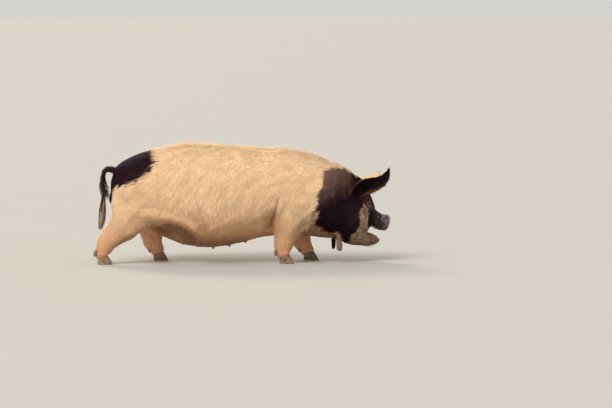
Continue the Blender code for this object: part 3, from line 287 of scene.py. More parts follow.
# Markings as outlines in the side view of the straight animal, X and Z. Right side first.
RUMP_BLACK = (
    (
        (-0.72, 0.70), (-0.430, 0.70), (-0.412, 0.546), (-0.400, 0.512), (-0.417, 0.491), (-0.425, 0.463),
        (-0.463, 0.439), (-0.501, 0.411), (-0.573, 0.386), (-0.597, 0.392), (-0.606, 0.360), (-0.72, 0.360),
    ),
    (
        (-0.72, 0.70), (-0.452, 0.70), (-0.446, 0.540), (-0.462, 0.498), (-0.503, 0.462), (-0.548, 0.428),
        (-0.592, 0.400), (-0.606, 0.360), (-0.72, 0.360),
    ),
)
RUMP_STRIP_HALF, RUMP_STRIP_BEHIND, RUMP_STRIP_FOOT = 0.058, -0.588, 0.236
NECK_BLACK = (
    (
        (0.433, 0.453), (0.459, 0.462), (0.488, 0.470), (0.516, 0.470), (0.545, 0.463), (0.571, 0.446),
        (0.599, 0.430), (0.612, 0.426), (0.640, 0.520), (0.900, 0.520), (0.900, 0.020), (0.560, 0.080),
        (0.520, 0.112), (0.483, 0.128), (0.452, 0.155), (0.425, 0.171), (0.397, 0.192), (0.377, 0.216),
        (0.380, 0.246), (0.396, 0.276), (0.405, 0.300), (0.406, 0.333), (0.412, 0.362), (0.431, 0.378),
        (0.429, 0.398), (0.433, 0.417),
    ),
    (
        (0.462, 0.372), (0.500, 0.398), (0.548, 0.384), (0.600, 0.362), (0.628, 0.372), (0.650, 0.420),
        (0.700, 0.480), (0.900, 0.400), (0.900, 0.020), (0.560, 0.080), (0.520, 0.118), (0.476, 0.150),
        (0.440, 0.190), (0.424, 0.240), (0.436, 0.286), (0.430, 0.330),
    ),
)
# The pale blaze that runs from under the eye round the chin, and the tan lower jaw in front of it.
BLAZE = (
    (0.626, 0.284), (0.612, 0.267), (0.605, 0.241), (0.596, 0.216), (0.598, 0.190), (0.589, 0.163),
    (0.568, 0.143), (0.559, 0.128), (0.562, 0.060), (0.760, 0.040), (0.760, 0.145), (0.670, 0.146),
    (0.645, 0.172), (0.642, 0.213), (0.650, 0.239), (0.650, 0.272),
)
# Soft spots in the side view: X, Z, half width, half height.
THROAT_SPOT = (0.410, 0.165, 0.075, 0.045)
NAPE_SPOT = (0.556, 0.410, 0.016, 0.015)
EAR_ROOT_SPOT = (0.645, 0.334, 0.024, 0.014)
CHEEK_SPOT = (0.575, 0.255, 0.040, 0.060)
GROIN_SPOT = (-0.360, 0.170, 0.120, 0.070)
ELBOW_SPOT = (0.185, 0.220, 0.035, 0.090)
MUZZLE_WHISKERS = (0.722, 0.175, 0.020, 0.020)
CHIN_WHISKERS = (0.690, 0.088, 0.030, 0.016)
# The roan tuft before the shoulder: X, Z, radius.
ROAN = (0.390, 0.238, 0.026)

# The lie of the hair in the side view: place, reach of its pull, way in X, outwards and Z.
LIE = (
    (-0.56, 0.50, 0.07, -1.0, 0.10, -0.45),
    (-0.45, 0.54, 0.08, -1.0, 0.05, -0.15),
    (-0.25, 0.57, 0.08, -1.0, 0.10, -0.20),
    (0.00, 0.57, 0.10, -1.0, 0.10, -0.20),
    (0.25, 0.55, 0.10, -1.0, 0.10, -0.20),
    (0.44, 0.51, 0.08, -1.0, 0.10, 0.00),
    (-0.50, 0.42, 0.08, -1.0, 0.0, -0.42),
    (-0.50, 0.33, 0.08, -1.0, 0.0, -0.18),
    (-0.56, 0.25, 0.06, -0.9, 0.0, -0.60),
    (-0.45, 0.25, 0.06, -0.5, 0.0, -0.90),
    (-0.36, 0.38, 0.08, -0.9, 0.0, -0.60),
    (-0.30, 0.26, 0.06, 0.35, 0.0, -1.00),
    (-0.20, 0.46, 0.10, -0.25, 0.0, -1.00),
    (-0.15, 0.30, 0.12, -0.05, 0.0, -1.00),
    (0.05, 0.46, 0.10, -0.25, 0.0, -1.00),
    (0.05, 0.30, 0.12, -0.10, 0.0, -1.00),
    (0.00, 0.14, 0.10, -0.80, 0.0, -0.50),
    (0.28, 0.44, 0.09, -0.50, 0.0, -1.00),
    (0.28, 0.30, 0.09, -0.35, 0.0, -1.00),
    (0.28, 0.18, 0.06, 0.00, 0.0, -1.00),
    (0.43, 0.40, 0.08, -0.90, 0.0, -0.75),
    (0.43, 0.26, 0.08, -0.90, 0.0, -0.60),
    (0.45, 0.15, 0.06, -1.00, 0.0, -0.20),
    (0.56, 0.36, 0.05, -1.00, 0.0, 0.15),
    (0.57, 0.23, 0.06, -1.00, 0.0, -0.30),
    (0.58, 0.12, 0.05, -1.00, 0.0, -0.35),
    (0.62, 0.41, 0.04, -1.00, 0.0, 0.60),
    (0.65, 0.34, 0.04, -0.55, 0.2, 0.85),
    (0.64, 0.24, 0.04, -0.90, 0.0, -0.35),
    (0.70, 0.22, 0.04, -1.00, 0.1, 0.35),
    (0.69, 0.10, 0.04, -1.00, 0.0, -0.35),
)
# The bristles along the back: places along X, how far a tip stands off the back there.
CREST_STAND = (
    (-0.560, 0.003), (-0.400, 0.005), (-0.300, 0.010), (-0.200, 0.019), (-0.100, 0.015), (0.000, 0.007),
    (0.200, 0.006), (0.380, 0.008), (0.560, 0.009),
)
CREST_FROM, CREST_TO, CREST_SPREAD = -0.540, 0.590, 0.062
TASSEL_END = (-0.672, -0.003, 0.160)

# Creases and bones under the hide, in the side view: lines of X and Z with widths and depths.
FOLD_CREASE = (
    (-0.500, 0.138), (-0.462, 0.145), (-0.405, 0.178), (-0.332, 0.202), (-0.270, 0.186), (-0.215, 0.154),
    (-0.175, 0.105),
)
ELBOW_CREASE = ((0.212, 0.335), (0.206, 0.290), (0.192, 0.240), (0.178, 0.190), (0.170, 0.150))
THIGH_CREASE = ((-0.395, 0.430), (-0.372, 0.360), (-0.352, 0.300), (-0.340, 0.255))
# The body's creases, and the swellings beside them: line, how far it is moved, width, depth.
BODY_CREASES = (
    (FOLD_CREASE, (0.0, 0.0), 0.011, 0.0060),
    (FOLD_CREASE, (0.0, 0.032), 0.016, -0.0035),
    (ELBOW_CREASE, (0.0, 0.0), 0.009, 0.0075),
    (ELBOW_CREASE, (0.024, 0.0), 0.016, -0.0030),
    (THIGH_CREASE, (0.0, 0.0), 0.014, 0.0040),
)
HOLLOW_DEPTH = 0.026
NECK_CREASES = (
    (((0.452, 0.430), (0.440, 0.350), (0.438, 0.260), (0.462, 0.180)), 0.010, 0.0035),
    (((0.512, 0.400), (0.498, 0.330), (0.494, 0.250), (0.506, 0.170)), 0.008, 0.0030),
    (((0.545, 0.345), (0.560, 0.330), (0.585, 0.322), (0.612, 0.318)), 0.005, 0.0015),
)
FACE_CREASES = (
    (((0.652, 0.252), (0.640, 0.235), (0.634, 0.205), (0.642, 0.178)), 0.0065, 0.0042),
    (((0.676, 0.262), (0.690, 0.240), (0.706, 0.222), (0.722, 0.210)), 0.0055, 0.0034),
    (((0.690, 0.268), (0.700, 0.250), (0.712, 0.236), (0.728, 0.226)), 0.0050, 0.0024),
    (((0.632, 0.272), (0.645, 0.254), (0.660, 0.249), (0.678, 0.254)), 0.0045, 0.0034),
    (((0.636, 0.310), (0.650, 0.317), (0.664, 0.317), (0.676, 0.306)), 0.0042, 0.0034),
    (((0.630, 0.322), (0.648, 0.330), (0.664, 0.329), (0.676, 0.318)), 0.0045, 0.0032),
    (((0.622, 0.292), (0.600, 0.280), (0.582, 0.262), (0.572, 0.236)), 0.0070, 0.0034),
    (((0.628, 0.302), (0.606, 0.304), (0.586, 0.296), (0.570, 0.282)), 0.0050, 0.0026),
    (((0.640, 0.168), (0.622, 0.156), (0.606, 0.138), (0.598, 0.114)), 0.0060, 0.0040),
    (((0.655, 0.160), (0.642, 0.142), (0.632, 0.122), (0.628, 0.104)), 0.0050, 0.0028),
)
BONES = (
    ((0.304, -0.122, 0.150), 0.030, 0.0040),
    ((0.376, 0.122, 0.148), 0.030, 0.0040),
    ((-0.634, -0.124, 0.176), 0.030, 0.0050),
    ((-0.474, 0.122, 0.158), 0.030, 0.0050),
    ((-0.470, -0.150, 0.480), 0.070, 0.0040),
    ((-0.470, 0.150, 0.480), 0.070, 0.0040),
    ((0.250, -0.160, 0.480), 0.080, 0.0030),
    ((0.250, 0.160, 0.480), 0.080, 0.0030),
)
# Rings round the eye in the skin: distance from its middle, width, height, shares beneath and above it.
EYE_RINGS = (
    (0.0240, 0.0032, -0.0030, 0.9, 0.8),
    (0.0295, 0.0030, 0.0018, 1.0, 0.0),
    (0.0350, 0.0028, -0.0015, 1.0, 0.0),
)
# Ridges along the lips: of the upper one or not, distance from its edge, width, height.
LIP_RIDGES = (
    (True, 0.0035, 0.0035, 0.0017),
    (False, 0.0035, 0.0035, 0.0017),
    (True, 0.0120, 0.0030, -0.0013),
)
SOFT_REACH, WRINKLE_STEP, HEAD_RELIEF_FROM = 0.022, 0.0100, (0.50, 0.58)

# The first creases of the face get painted pinkish highlights on their crests.
HIGHLIT_CREASES = 6

# The coat is made in pieces that part at these places along X.
PARTINGS = (-0.330, 0.120, 0.385, 0.530)
# Along the head: X, the hair's length as a share of the face's own.
FACE_LENGTHS = ((0.530, 3.0), (0.570, 2.3), (0.610, 1.5), (0.650, 1.0), (0.700, 0.7), (0.750, 0.45))
ROOT_SUNK, BAKE_PATCH = 0.0012, 0.003

FLESH_NODES = (
    "head", "snout", "lower_jaw", "ear_right", "ear_left", "neck", "shoulders", "barrel", "rump",
    "fore_leg_right", "fore_leg_left", "hind_leg_right", "hind_leg_left", "tail", "wattle_right",
    "wattle_left",
)
# Sizes of the hair that no setting changes.
EAR_HAIR, EAR_EDGE_HAIR, EAR_WIDTH = 0.011, 0.006, 0.0014
CREST_WIDTH, FUZZ_HAIR, FUZZ_TALL, FUZZ_WIDTH = 0.0014, 0.012, 0.026, 0.0007
FUZZ_PEAK, FUZZ_REACH, FUZZ_END = -0.20, 0.110, 0.46
TAIL_HAIR, TAIL_HANGING_HAIR, TAIL_WIDTH, SWITCH_WIDTH = 0.014, 0.032, 0.0016, 0.0021
WHISKERS, LASHES, WHISKER_WIDTH = 260, 44, 0.0005
FLOOR_SIZE = 400.0
# The lights: name, place, how wide they are in degrees, colour.
LIGHTS = (
    ("key", (-2.2, -3.0, 3.6), 32.0, (1.0, 0.96, 0.90)),
    ("back", (-1.2, 3.6, 2.4), 16.0, (1.0, 0.90, 0.74)),
    ("low", (-1.3, -4.0, 0.7), 30.0, (1.0, 0.80, 0.58)),
)
CAMERA_AIM, CAMERA_AZIMUTH, CAMERA_ELEVATION = (0.355, 0.000, 0.2875), -3.0, 3.5


# The user's sizes and colours


def length_prop(label, words, value):
    return FloatProperty(name=label, description=words, default=value, unit="LENGTH", subtype="DISTANCE")


def colour_prop(label, words, value):
    return FloatVectorProperty(
        name=label, description=words, default=value, size=3, min=0.0, max=1.0, subtype="COLOR"
    )


def count_prop(label, words, value):
    return IntProperty(name=label, description=words, default=value, min=0)


class SowBody(bpy.types.PropertyGroup):
    """Sizes of the skin."""

    voxel: length_prop("Skin detail", "Size of the cells that melt the body's forms together", 0.0030)
    coat_depth: length_prop("Coat depth", "How far the skin lies under the tips of the body's coat", 0.0035)
    face_depth: length_prop("Face coat depth", "How far the skin lies under the coat of the face", 0.0008)
    triangles: count_prop("Skin triangles", "How many triangles the finished skin keeps", 150000)


class SowCoat(bpy.types.PropertyGroup):
    """Counts and sizes of the hair."""

    rump: count_prop("Rump tufts", "Tufts over the rump and thighs", 19000)
    flank: count_prop("Flank tufts", "Tufts over each flank", 19400)
    shoulder: count_prop("Shoulder tufts", "Tufts over each shoulder", 9600)
    neck: count_prop("Neck tufts", "Tufts over the neck", 14000)
    leg: count_prop("Leg tufts", "Tufts on each pair of legs", 9500)
    head: count_prop("Head tufts", "Tufts over the cheeks, brow and jaw", 19000)
    ear: count_prop("Ear tufts", "Tufts on each ear", 5000)
    crest: count_prop("Crest bristles", "Long bristles along the back", 5200)
    fuzz: count_prop("Back fuzz", "Single hairs that stand along the back", 2600)
    tail: count_prop("Tail bristles", "Dark bristles on the tail", 900)
    tassel: count_prop("Switch hairs", "Pale hairs in the tail's switch", 620)
    body_length: length_prop("Body hair", "Length of the hair on the flanks", 0.036)
    face_length: length_prop("Face hair", "Length of the hair between the eyes", 0.012)
    leg_length: length_prop("Leg hair", "Length of the hair on the lower legs", 0.012)
    crest_length: length_prop("Crest hair", "Length of the bristles on the back", 0.075)
    width: length_prop("Tuft width", "Width of a tuft at its root", 0.0015)


class SowColours(bpy.types.PropertyGroup):
    """Colours of hide, hair, horn, eye and mouth, as linear values."""

    hide: colour_prop("Hide", "Cream hide of the flanks", (0.74, 0.47, 0.29))
    blush: colour_prop("Blush", "Pink hide where the hair is thin", (0.62, 0.29, 0.155))
    tan: colour_prop("Tan", "Greyish tan of the blaze and the lower jaw", (0.20, 0.135, 0.10))
    black: colour_prop("Black", "Black hide of the patches", (0.010, 0.0055, 0.0066))
    # Plum also stands for a painted sheen high on the neck and round the eyes.
    plum: colour_prop("Plum", "Purple cast of the black hide", (0.095, 0.052, 0.058))
    snout: colour_prop("Snout", "Bare slate skin of the snout", (0.034, 0.019, 0.023))
    rim: colour_prop("Snout rim", "Pinkish rim of the snout's disc", (0.40, 0.22, 0.22))
    flesh: colour_prop("Mouth", "Wet flesh of the mouth and tongue", (0.42, 0.12, 0.09))
    hair: colour_prop("Pale hair", "Cream hair", (0.87, 0.615, 0.375))
    # Warm hair also stands for painted shade low on the body and under the flank's fold.
    warm_hair: colour_prop("Warm hair", "Hair that the hide shows through", (0.66, 0.37, 0.19))
    dark_hair: colour_prop("Dark hair", "Black hair", (0.0135, 0.0042, 0.0090))
    grey_hair: colour_prop("Grey hair", "Hair of the blaze, jaw and roan tuft", (0.30, 0.235, 0.165))
    switch: colour_prop("Switch hair", "Pale hair of the tail's switch", (0.33, 0.25, 0.19))
    horn: colour_prop("Horn", "Horn of the claws", (0.26, 0.17, 0.105))
    iris: colour_prop("Iris", "Brown iris", (0.030, 0.013, 0.006))


class SowStage(bpy.types.PropertyGroup):
    """The floor, the lights and the camera."""

    floor: colour_prop("Floor", "Plain pale floor", (0.445, 0.437, 0.420))
    key: FloatProperty(name="Key light", description="Strength of the soft light in front", default=2.5)
    back: FloatProperty(name="Back light", description="Strength of the warm light behind", default=1.5)
    low: FloatProperty(name="Low light", description="Strength of the light near the floor", default=0.32)
    sky: FloatProperty(name="Room light", description="Strength of the light from all round", default=0.66)
    lens: FloatProperty(name="Lens", description="Focal length in millimetres", default=200.0)
    distance: length_prop("Camera distance", "From the camera to what it looks at", 17.0)


class SowSettings(bpy.types.PropertyGroup):
    """All that a user of the sow would change."""

    body: PointerProperty(type=SowBody)
    coat: PointerProperty(type=SowCoat)
    colours: PointerProperty(type=SowColours)
    stage: PointerProperty(type=SowStage)


def settings():
    return bpy.context.scene.sow


# Numbers and shapes


def smoothstep(value, low, high):
    share = np.clip((value - low) / (high - low), 0, 1)
    return share * share * (3 - 2 * share)


def band(value, low, high, fall, end):
    """0 up to low, 1 from high to fall and 0 again from end on."""
    return smoothstep(value, low, high) * (1 - smoothstep(value, fall, end))


def bell(away, width):
    """1 in the middle, fading to 0 within a few widths."""
    return np.exp(-((away / width) ** 2))


def spot(q, x, z, wide, high):
    """1 at one place of the side view, fading to 0 round it."""
    return np.exp(-(((q[:, 0] - x) / wide) ** 2) - ((q[:, 2] - z) / high) ** 2)


def unit(ways):
    return ways / np.maximum(np.linalg.norm(ways, axis=-1, keepdims=True), 1e-9)


def catmull_rom(rows, count):
    """Rows of numbers read off at count even steps along a smooth curve through the given rows."""
    rows = np.array(rows, float)
    padded = np.vstack([2 * rows[0] - rows[1], rows, 2 * rows[-1] - rows[-2]])
    steps = np.linspace(0, len(rows) - 1, count)
    index = np.minimum(steps.astype(int), len(rows) - 2)
    t = (steps - index)[:, None]
    a, b, c, d = (padded[index + k] for k in range(4))
    return 0.5 * (2 * b + (c - a) * t + (2 * a - 5 * b + 4 * c - d) * t**2 + (3 * b - a - 3 * c + d) * t**3)


def turn_at(along):
    return HEAD_TURN * smoothstep(along, TURN_STARTS, TURN_ENDS)


def spun(ahead, side, angle):
    """Flat places or ways carried round by an angle."""
    return ahead * np.cos(angle) - side * np.sin(angle), ahead * np.sin(angle) + side * np.cos(angle)


def turned(points):
    """Points of the straight animal, with the neck bent so that the head looks a little to the left."""
    x, y, z = np.array(points, float).reshape(-1, 3).T
    ahead, side = spun(x - TURN_STARTS, y, turn_at(x))
    return np.column_stack([TURN_STARTS + ahead, side, z])


def straightened(points):
    """The reverse of turned, found in a few steps."""
    bent_x, bent_y, z = np.array(points, float).reshape(-1, 3).T
    x, y = bent_x, bent_y
    for _ in range(7):
        ahead, y = spun(bent_x - TURN_STARTS, bent_y, -turn_at(x))
        x = TURN_STARTS + ahead
    return np.column_stack([x, y, z])


def turn_ways(ways, along):
    """Directions of the straight animal carried round with the neck."""
    return np.column_stack([*spun(ways[:, 0], ways[:, 1], turn_at(along)), ways[:, 2]])


def ripple(points, size, seed, waves=7):
    """Smooth random waves of about that size, from about -1 to 1 and the same for the same seed."""
    draw = np.random.default_rng(seed)
    total = np.zeros(len(points))
    for _ in range(waves):
        way = unit(draw.normal(size=3)) * 2 * math.pi / (size * draw.uniform(0.7, 1.6))
        total += np.sin(points @ way + draw.uniform(0, 2 * math.pi))
    return total / math.sqrt(waves)


def line_distance(places, line):
    """How far each of the flat places is from a line of points, and how far along the line it is."""
    line = np.array(line, float)
    best = np.full(len(places), np.inf)
    share = np.zeros(len(places))
    for number, (start, end) in enumerate(zip(line[:-1], line[1:])):
        step = end - start
        t = np.clip(((places - start) @ step) / (step @ step), 0, 1)
        away = np.linalg.norm(places - start - t[:, None] * step, axis=1)
        nearer = away < best
        best[nearer] = away[nearer]
        share[nearer] = (number + t[nearer]) / (len(line) - 1)
    return best, share


def section_at(table, x, *columns, count=60):
    """Numbers of a body's sections, read off at places along it."""
    rows = catmull_rom(table, count)
    return [np.interp(x, rows[:, 0], rows[:, column]) for column in columns]


def inside(places, outline):
    """How far each flat place lies inside a closed outline, with a minus sign outside it."""
    outline = np.array(outline, float)
    within = np.zeros(len(places), bool)
    x, z = places[:, 0], places[:, 1]
    for (x0, z0), (x1, z1) in zip(outline, np.roll(outline, -1, 0)):
        crossing = (z0 > z) != (z1 > z)
        if z0 != z1:
            within ^= crossing & (x < x0 + (z - z0) * (x1 - x0) / (z1 - z0))
    away, _ = line_distance(places, np.vstack([outline, outline[:1]]))
    return np.where(within, away, -away)


def shift_of_frame():
    """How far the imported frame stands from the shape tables, read from an eye's solid."""
    low, high = (np.array(corner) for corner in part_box("eye_right"))
    centre = turned((EYE_CENTRE[0], -EYE_CENTRE[1], EYE_CENTRE[2]))[0]
    return (low + high) / 2 - centre


SHIFT = shift_of_frame()


def section_rings(table, count, sides):
    """Upright sections of a body: each is two half superellipses that meet at the widest height."""
    angle = np.linspace(0, 2 * math.pi, sides, endpoint=False)
    across, up = np.cos(angle), np.sin(angle)
    rings = []
    for x, top, under, half, wide, above, below in catmull_rom(table, count):
        power = 2 / np.where(up >= 0, above, below)
        middle = under + wide * (top - under)
        reach = np.where(up >= 0, top - middle, middle - under)
        y = half * np.sign(across) * np.abs(across) ** power
        z = middle + reach * np.sign(up) * np.abs(up) ** power
        rings.append(np.stack([np.full(sides, x), y, z], 1))
    return rings


def leg_rings(table, count, sides):
    rows = catmull_rom(table, count)
    along = unit(np.gradient(rows[:, :2], axis=0))
    angle = np.linspace(0, 2 * math.pi, sides, endpoint=False)
    rings = []
    for (x, z, y, depth, width), (ax, az) in zip(rows, along):
        fore = depth * np.cos(angle)
        rings.append(np.stack([x - az * fore, y + width * np.sin(angle), z + ax * fore], 1))
    return rings


def pipe_rings(rows, sides, flatten=1.0):
    """Round sections along a path of places and radii, kept from twisting."""
    rows = np.array(rows, float)
    along = unit(np.gradient(rows[:, :3], axis=0))
    side = np.cross(along[0], (0, 1, 0))
    if np.linalg.norm(side) < 0.1:
        side = np.cross(along[0], (1, 0, 0))
    angle = np.linspace(0, 2 * math.pi, sides, endpoint=False)
    rings = []
    for row, way in zip(rows, along):
        side = unit(side - way * (side @ way))
        other = np.cross(way, side)
        out = np.outer(np.cos(angle), side) + flatten * np.outer(np.sin(angle), other)
        rings.append(row[:3] + row[3] * out)
    return rings


# Modelling by hand: one object at a time


def nothing_selected():
    if bpy.context.mode != "OBJECT":
        bpy.ops.object.mode_set(mode="OBJECT")
    bpy.ops.object.select_all(action="DESELECT")


def alone(*objects):
    """Selects these objects only, with the first one active."""
    nothing_selected()
    for obj in objects:
        obj.select_set(True)
    bpy.context.view_layer.objects.active = objects[0]


def triples(items, key):
    numbers = np.empty(len(items) * 3, np.float32)
    items.foreach_get(key, numbers)
    return numbers.reshape(-1, 3).astype(float)


def points_of(obj):
    return triples(obj.data.vertices, "co")


def normals_of(obj):
    return triples(obj.data.vertex_normals, "vector")


def place_points(obj, points):
    obj.data.vertices.foreach_set("co", np.asarray(points, np.float32).ravel())
    obj.data.update()


def face_outwards(obj):
    alone(obj)
    bpy.ops.object.mode_set(mode="EDIT")
    bpy.ops.mesh.select_all(action="SELECT")
    bpy.ops.mesh.normals_make_consistent(inside=False)
    bpy.ops.object.mode_set(mode="OBJECT")


def unit_ball(name, segments, rings):
    nothing_selected()
    bpy.ops.mesh.primitive_uv_sphere_add(segments=segments, ring_count=rings, radius=1.0)
    ball = bpy.context.active_object
    ball.name = name
    return ball


def drawn_ball(name, rings):
    """A ball primitive whose rings of points are drawn out to the given ones, its poles closing the ends."""
    rings = np.array(rings, float)
    count, sides = rings.shape[:2]
    ball = unit_ball(name, sides, count + 1)
    points = points_of(ball)
    level = np.rint(np.arccos(np.clip(points[:, 2], -1, 1)) / math.pi * (count + 1)).astype(int)
    around = np.rint(np.arctan2(points[:, 1], points[:, 0]) / (2 * math.pi) * sides).astype(int) % sides
    ends = np.repeat(rings[[0, -1]].mean(1, keepdims=True), sides, axis=1)
    stack = np.concatenate([ends[:1], rings, ends[1:]])
    place_points(ball, stack[level, around])
    face_outwards(ball)
    return ball


def ellipsoid(name, centre, radii, segments=32, rings=20):
    ball = unit_ball(name, segments, rings)
    place_points(ball, points_of(ball) * radii + centre)
    return ball


def apply_modifier(obj, kind, **values):
    step = obj.modifiers.new(kind.lower(), kind)
    for key, value in values.items():
        setattr(step, key, value)
    alone(obj)
    bpy.ops.object.modifier_apply(modifier=step.name)


def joined(name, objects):
    alone(*objects)
    bpy.ops.object.join()
    objects[0].name = name
    return objects[0]


def cut(obj, cutter, operation="DIFFERENCE"):
    apply_modifier(obj, "BOOLEAN", operation=operation, solver="MANIFOLD", object=cutter)
    bpy.data.objects.remove(cutter)


def melt(obj, voxel):
    """Turns overlapping forms into one even skin."""
    apply_modifier(obj, "REMESH", mode="VOXEL", voxel_size=voxel)


def bent(obj):
    place_points(obj, turned(points_of(obj)))
    return obj


def relax(obj, weight, passes):
    """Draws each point towards its neighbours' middle, by its own weight."""
    mesh = obj.data
    ends = np.empty(len(mesh.edges) * 2, np.int32)
    mesh.edges.foreach_get("vertices", ends)
    ends = ends.reshape(-1, 2)
    near = weight > 0.001
    ends = ends[near[ends].any(1)]
    points = points_of(obj)
    count = np.bincount(ends.ravel(), minlength=len(points)).astype(float)
    for _ in range(passes):
        total = np.zeros_like(points)
        for axis in range(3):
            total[:, axis] += np.bincount(ends[:, 0], points[ends[:, 1], axis], len(points))
            total[:, axis] += np.bincount(ends[:, 1], points[ends[:, 0], axis], len(points))
        middle = total / np.maximum(count, 1)[:, None]
        points = np.where((near & (count > 0))[:, None], points + (middle - points) * weight[:, None], points)
    place_points(obj, points)


def smooth_shaded(obj):
    obj.data.polygons.foreach_set("use_smooth", [True] * len(obj.data.polygons))
    obj.data.update()
    return obj


def onto_frame(obj):
    """Moves a piece from the shape tables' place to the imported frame's."""
    obj.data.transform(Matrix.Translation(SHIFT))
    obj.data.update()
    return obj


def finish_piece(obj, material, replaced=()):
    obj.data.materials.clear()
    obj.data.materials.append(material)
    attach(obj, "root")
    if replaced:
        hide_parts(*replaced)


# The ears


@functools.cache
def ear_sheets(side):
    """An ear's inner and outer surface as grids of points on the straight animal, and the way along it."""
    rows = catmull_rom(EAR, EAR_ROWS)
    share = np.linspace(0, 1, EAR_ROWS)
    centres = rows[:, :3].copy()
    if side > 0:
        centres += share[:, None] * EAR_LEFT_LIFT
    centres[:, 1] *= side
    along = unit(np.gradient(centres, axis=0))
    faces_to = np.array(EAR_FACES) * (1, side, 1)
    over = np.linspace(-1, 1, EAR_COLUMNS)
    edge = 1 - 0.35 * np.abs(over)[:, None] ** 3
    sheets = np.empty((2, EAR_ROWS, EAR_COLUMNS, 3))
    for row, (centre, way) in enumerate(zip(centres, along)):
        towards = unit(faces_to - way * (faces_to @ way))
        across = np.cross(way, towards)
        width, curl = rows[row, 3], math.radians(rows[row, 4])
        radius = width / math.sin(min(curl, math.pi / 2))
        angle = over[:, None] * curl
        away = across * np.sin(angle) - towards * np.cos(angle)
        thick = EAR_THICK_ROOT + (EAR_THICK_TIP - EAR_THICK_ROOT) * share[row]
        sheets[0, row] = centre + (towards + away) * radius
        sheets[1, row] = sheets[0, row] + away * thick * edge
    return sheets, along


@functools.cache
def ear_tree(side):
    points = ear_sheets(side)[0].reshape(-1, 3)
    tree = KDTree(len(points))
    for number, point in enumerate(points):
        tree.insert(point, number)
    tree.balance()
    return tree


def ear_places(q):
    """How much each place is on an ear, how far up and across the ear it is, and on which of its sheets."""
    x, y, z = q.T
    share, up, over, sheet = (np.zeros(len(q)) for _ in range(4))
    near = (x > 0.555) & (z > 0.31) & (np.abs(y) > 0.012)
    for number in np.flatnonzero(near):
        _, index, away = ear_tree(1 if q[number, 1] > 0 else -1).find(q[number])
        if away < EAR_REACH:
            share[number] = 1 - (away / EAR_REACH) ** 2
            row, column = divmod(index % (EAR_ROWS * EAR_COLUMNS), EAR_COLUMNS)
            up[number] = row / (EAR_ROWS - 1)
            over[number] = column / (EAR_COLUMNS - 1)
            sheet[number] = index // (EAR_ROWS * EAR_COLUMNS)
    return share, up, over, sheet


# Markings, read from a point's place on the straight animal


def muzzle_front(q):
    """1 on the bare snout, fading to 0 up the muzzle."""
    x, _, z = q.T
    slow, fast = smoothstep(x, *BARE_SLOW), smoothstep(x, *BARE_FAST)
    return (0.45 * slow + 0.55 * fast) * band(z, *BARE_HIGH)


def mouth_depth(q, grow=0.003):
    """1 on what bounds the open mouth inside the lips, 0 elsewhere."""
    x = q[:, 0]
    top, under = section_at(GAPE, x, TOP, UNDER)
    low_half = section_at(JAW, x, HALF)[0]
    high_half = section_at(MUZZLE, x, HALF)[0] * 0.93
    half = np.where(q[:, 2] < (top + under) / 2, low_half, high_half)
    between = smoothstep(top + grow - q[:, 2], 0, 0.002) * smoothstep(q[:, 2] - under + grow, 0, 0.002)
    within = 1 - smoothstep(np.abs(q[:, 1]), half - 0.011, half - 0.005)
    return between * within * band(x, 0.628, 0.640, 0.764, 0.772)


def lip_share(q):
    """1 along the edges of the lips, 0 away from them."""
    x, _, z = q.T
    top, under = section_at(GAPE, x, TOP, UNDER)
    above, beneath = bell(z - top, 0.0045), bell(z - under, 0.0065)
    return np.maximum(above * 0.7, beneath) * band(x, 0.640, 0.665, 0.755, 0.768)


def wrinkle_share(q):
    """1 on the crests of the folds over and beneath the eyes, where pinkish highlights are painted, 0
    elsewhere.
    """
    share = np.zeros(len(q))
    near = (eye_distance(q) < 0.060) & (q[:, 0] < 0.700)
    flat = q[near][:, [0, 2]]
    for line, width, _ in FACE_CREASES[:HIGHLIT_CREASES]:
        away, along = line_distance(flat, np.array(line) + (0.0, 0.8 * width))
        ends = band(along, 0.05, 0.30, 0.70, 0.95)
        share[near] = np.maximum(share[near], ends * bell(away, 0.55 * width))
    return 0.65 * share * (0.55 + 0.45 * np.clip(ripple(q, 0.012, 18), -1, 1))


def nostril_depth(q):
    away = (np.abs(q[:, 1]) - NOSTRIL_CENTRE[1]) / NOSTRIL_RADII[1]
    high = (q[:, 2] - NOSTRIL_CENTRE[2]) / NOSTRIL_RADII[2]
    return (1 - smoothstep(np.hypot(away, high), 0.85, 1.12)) * smoothstep(q[:, 0], 0.744, 0.752)


def eye_distance(q):
    centre = np.array(EYE_CENTRE)
    folded = np.stack([q[:, 0], np.abs(q[:, 1]), q[:, 2]], 1)
    return np.linalg.norm(folded - centre, axis=1)


def black_depth(q):
    """How deep a place lies inside the black patches, in metres, with a minus sign outside them."""
    x, y, z = q.T
    flat = q[:, [0, 2]]
    right = y < 0
    rump = np.where(right, inside(flat, RUMP_BLACK[0]), inside(flat, RUMP_BLACK[1]))
    strip_side = RUMP_STRIP_HALF - np.abs(y)
    strip_behind = RUMP_STRIP_BEHIND - x
    strip_high = np.minimum(z - RUMP_STRIP_FOOT, 0.42 - z)
    strip = np.minimum(np.minimum(strip_side, strip_behind * 3), strip_high)
    head = np.where(right, inside(flat, NECK_BLACK[0]), inside(flat, NECK_BLACK[1]))
    return np.maximum(np.maximum(rump, strip), head)


def rag_of(q):
    """How far the edges of the black patches wander."""
    return ripple(q, 0.030, 11) * 0.0035 + ripple(q, 0.011, 12) * 0.0018


def blaze_depth(q):
    """How deep a place lies inside the pale blaze, in metres, with a minus sign outside it."""
    return inside(q[:, [0, 2]], BLAZE) + 0.0042 * ripple(q, 0.022, 26) + 0.0025 * ripple(q, 0.009, 27)


def under_fold(q, edge=0.012):
    """1 in the hollow beneath the flank's fold, 0 away from it; edge is how soon it is 1 beneath the fold."""
    x, _, z = q.T
    below = np.interp(x, *zip(*FOLD_CREASE)) - z
    share = smoothstep(below, -0.004, edge) * (1 - smoothstep(below, 0.050, 0.090))
    share *= smoothstep(x, -0.50, -0.45) * (1 - smoothstep(x, -0.215, -0.165))
    return share * (1 - leg_share(q))


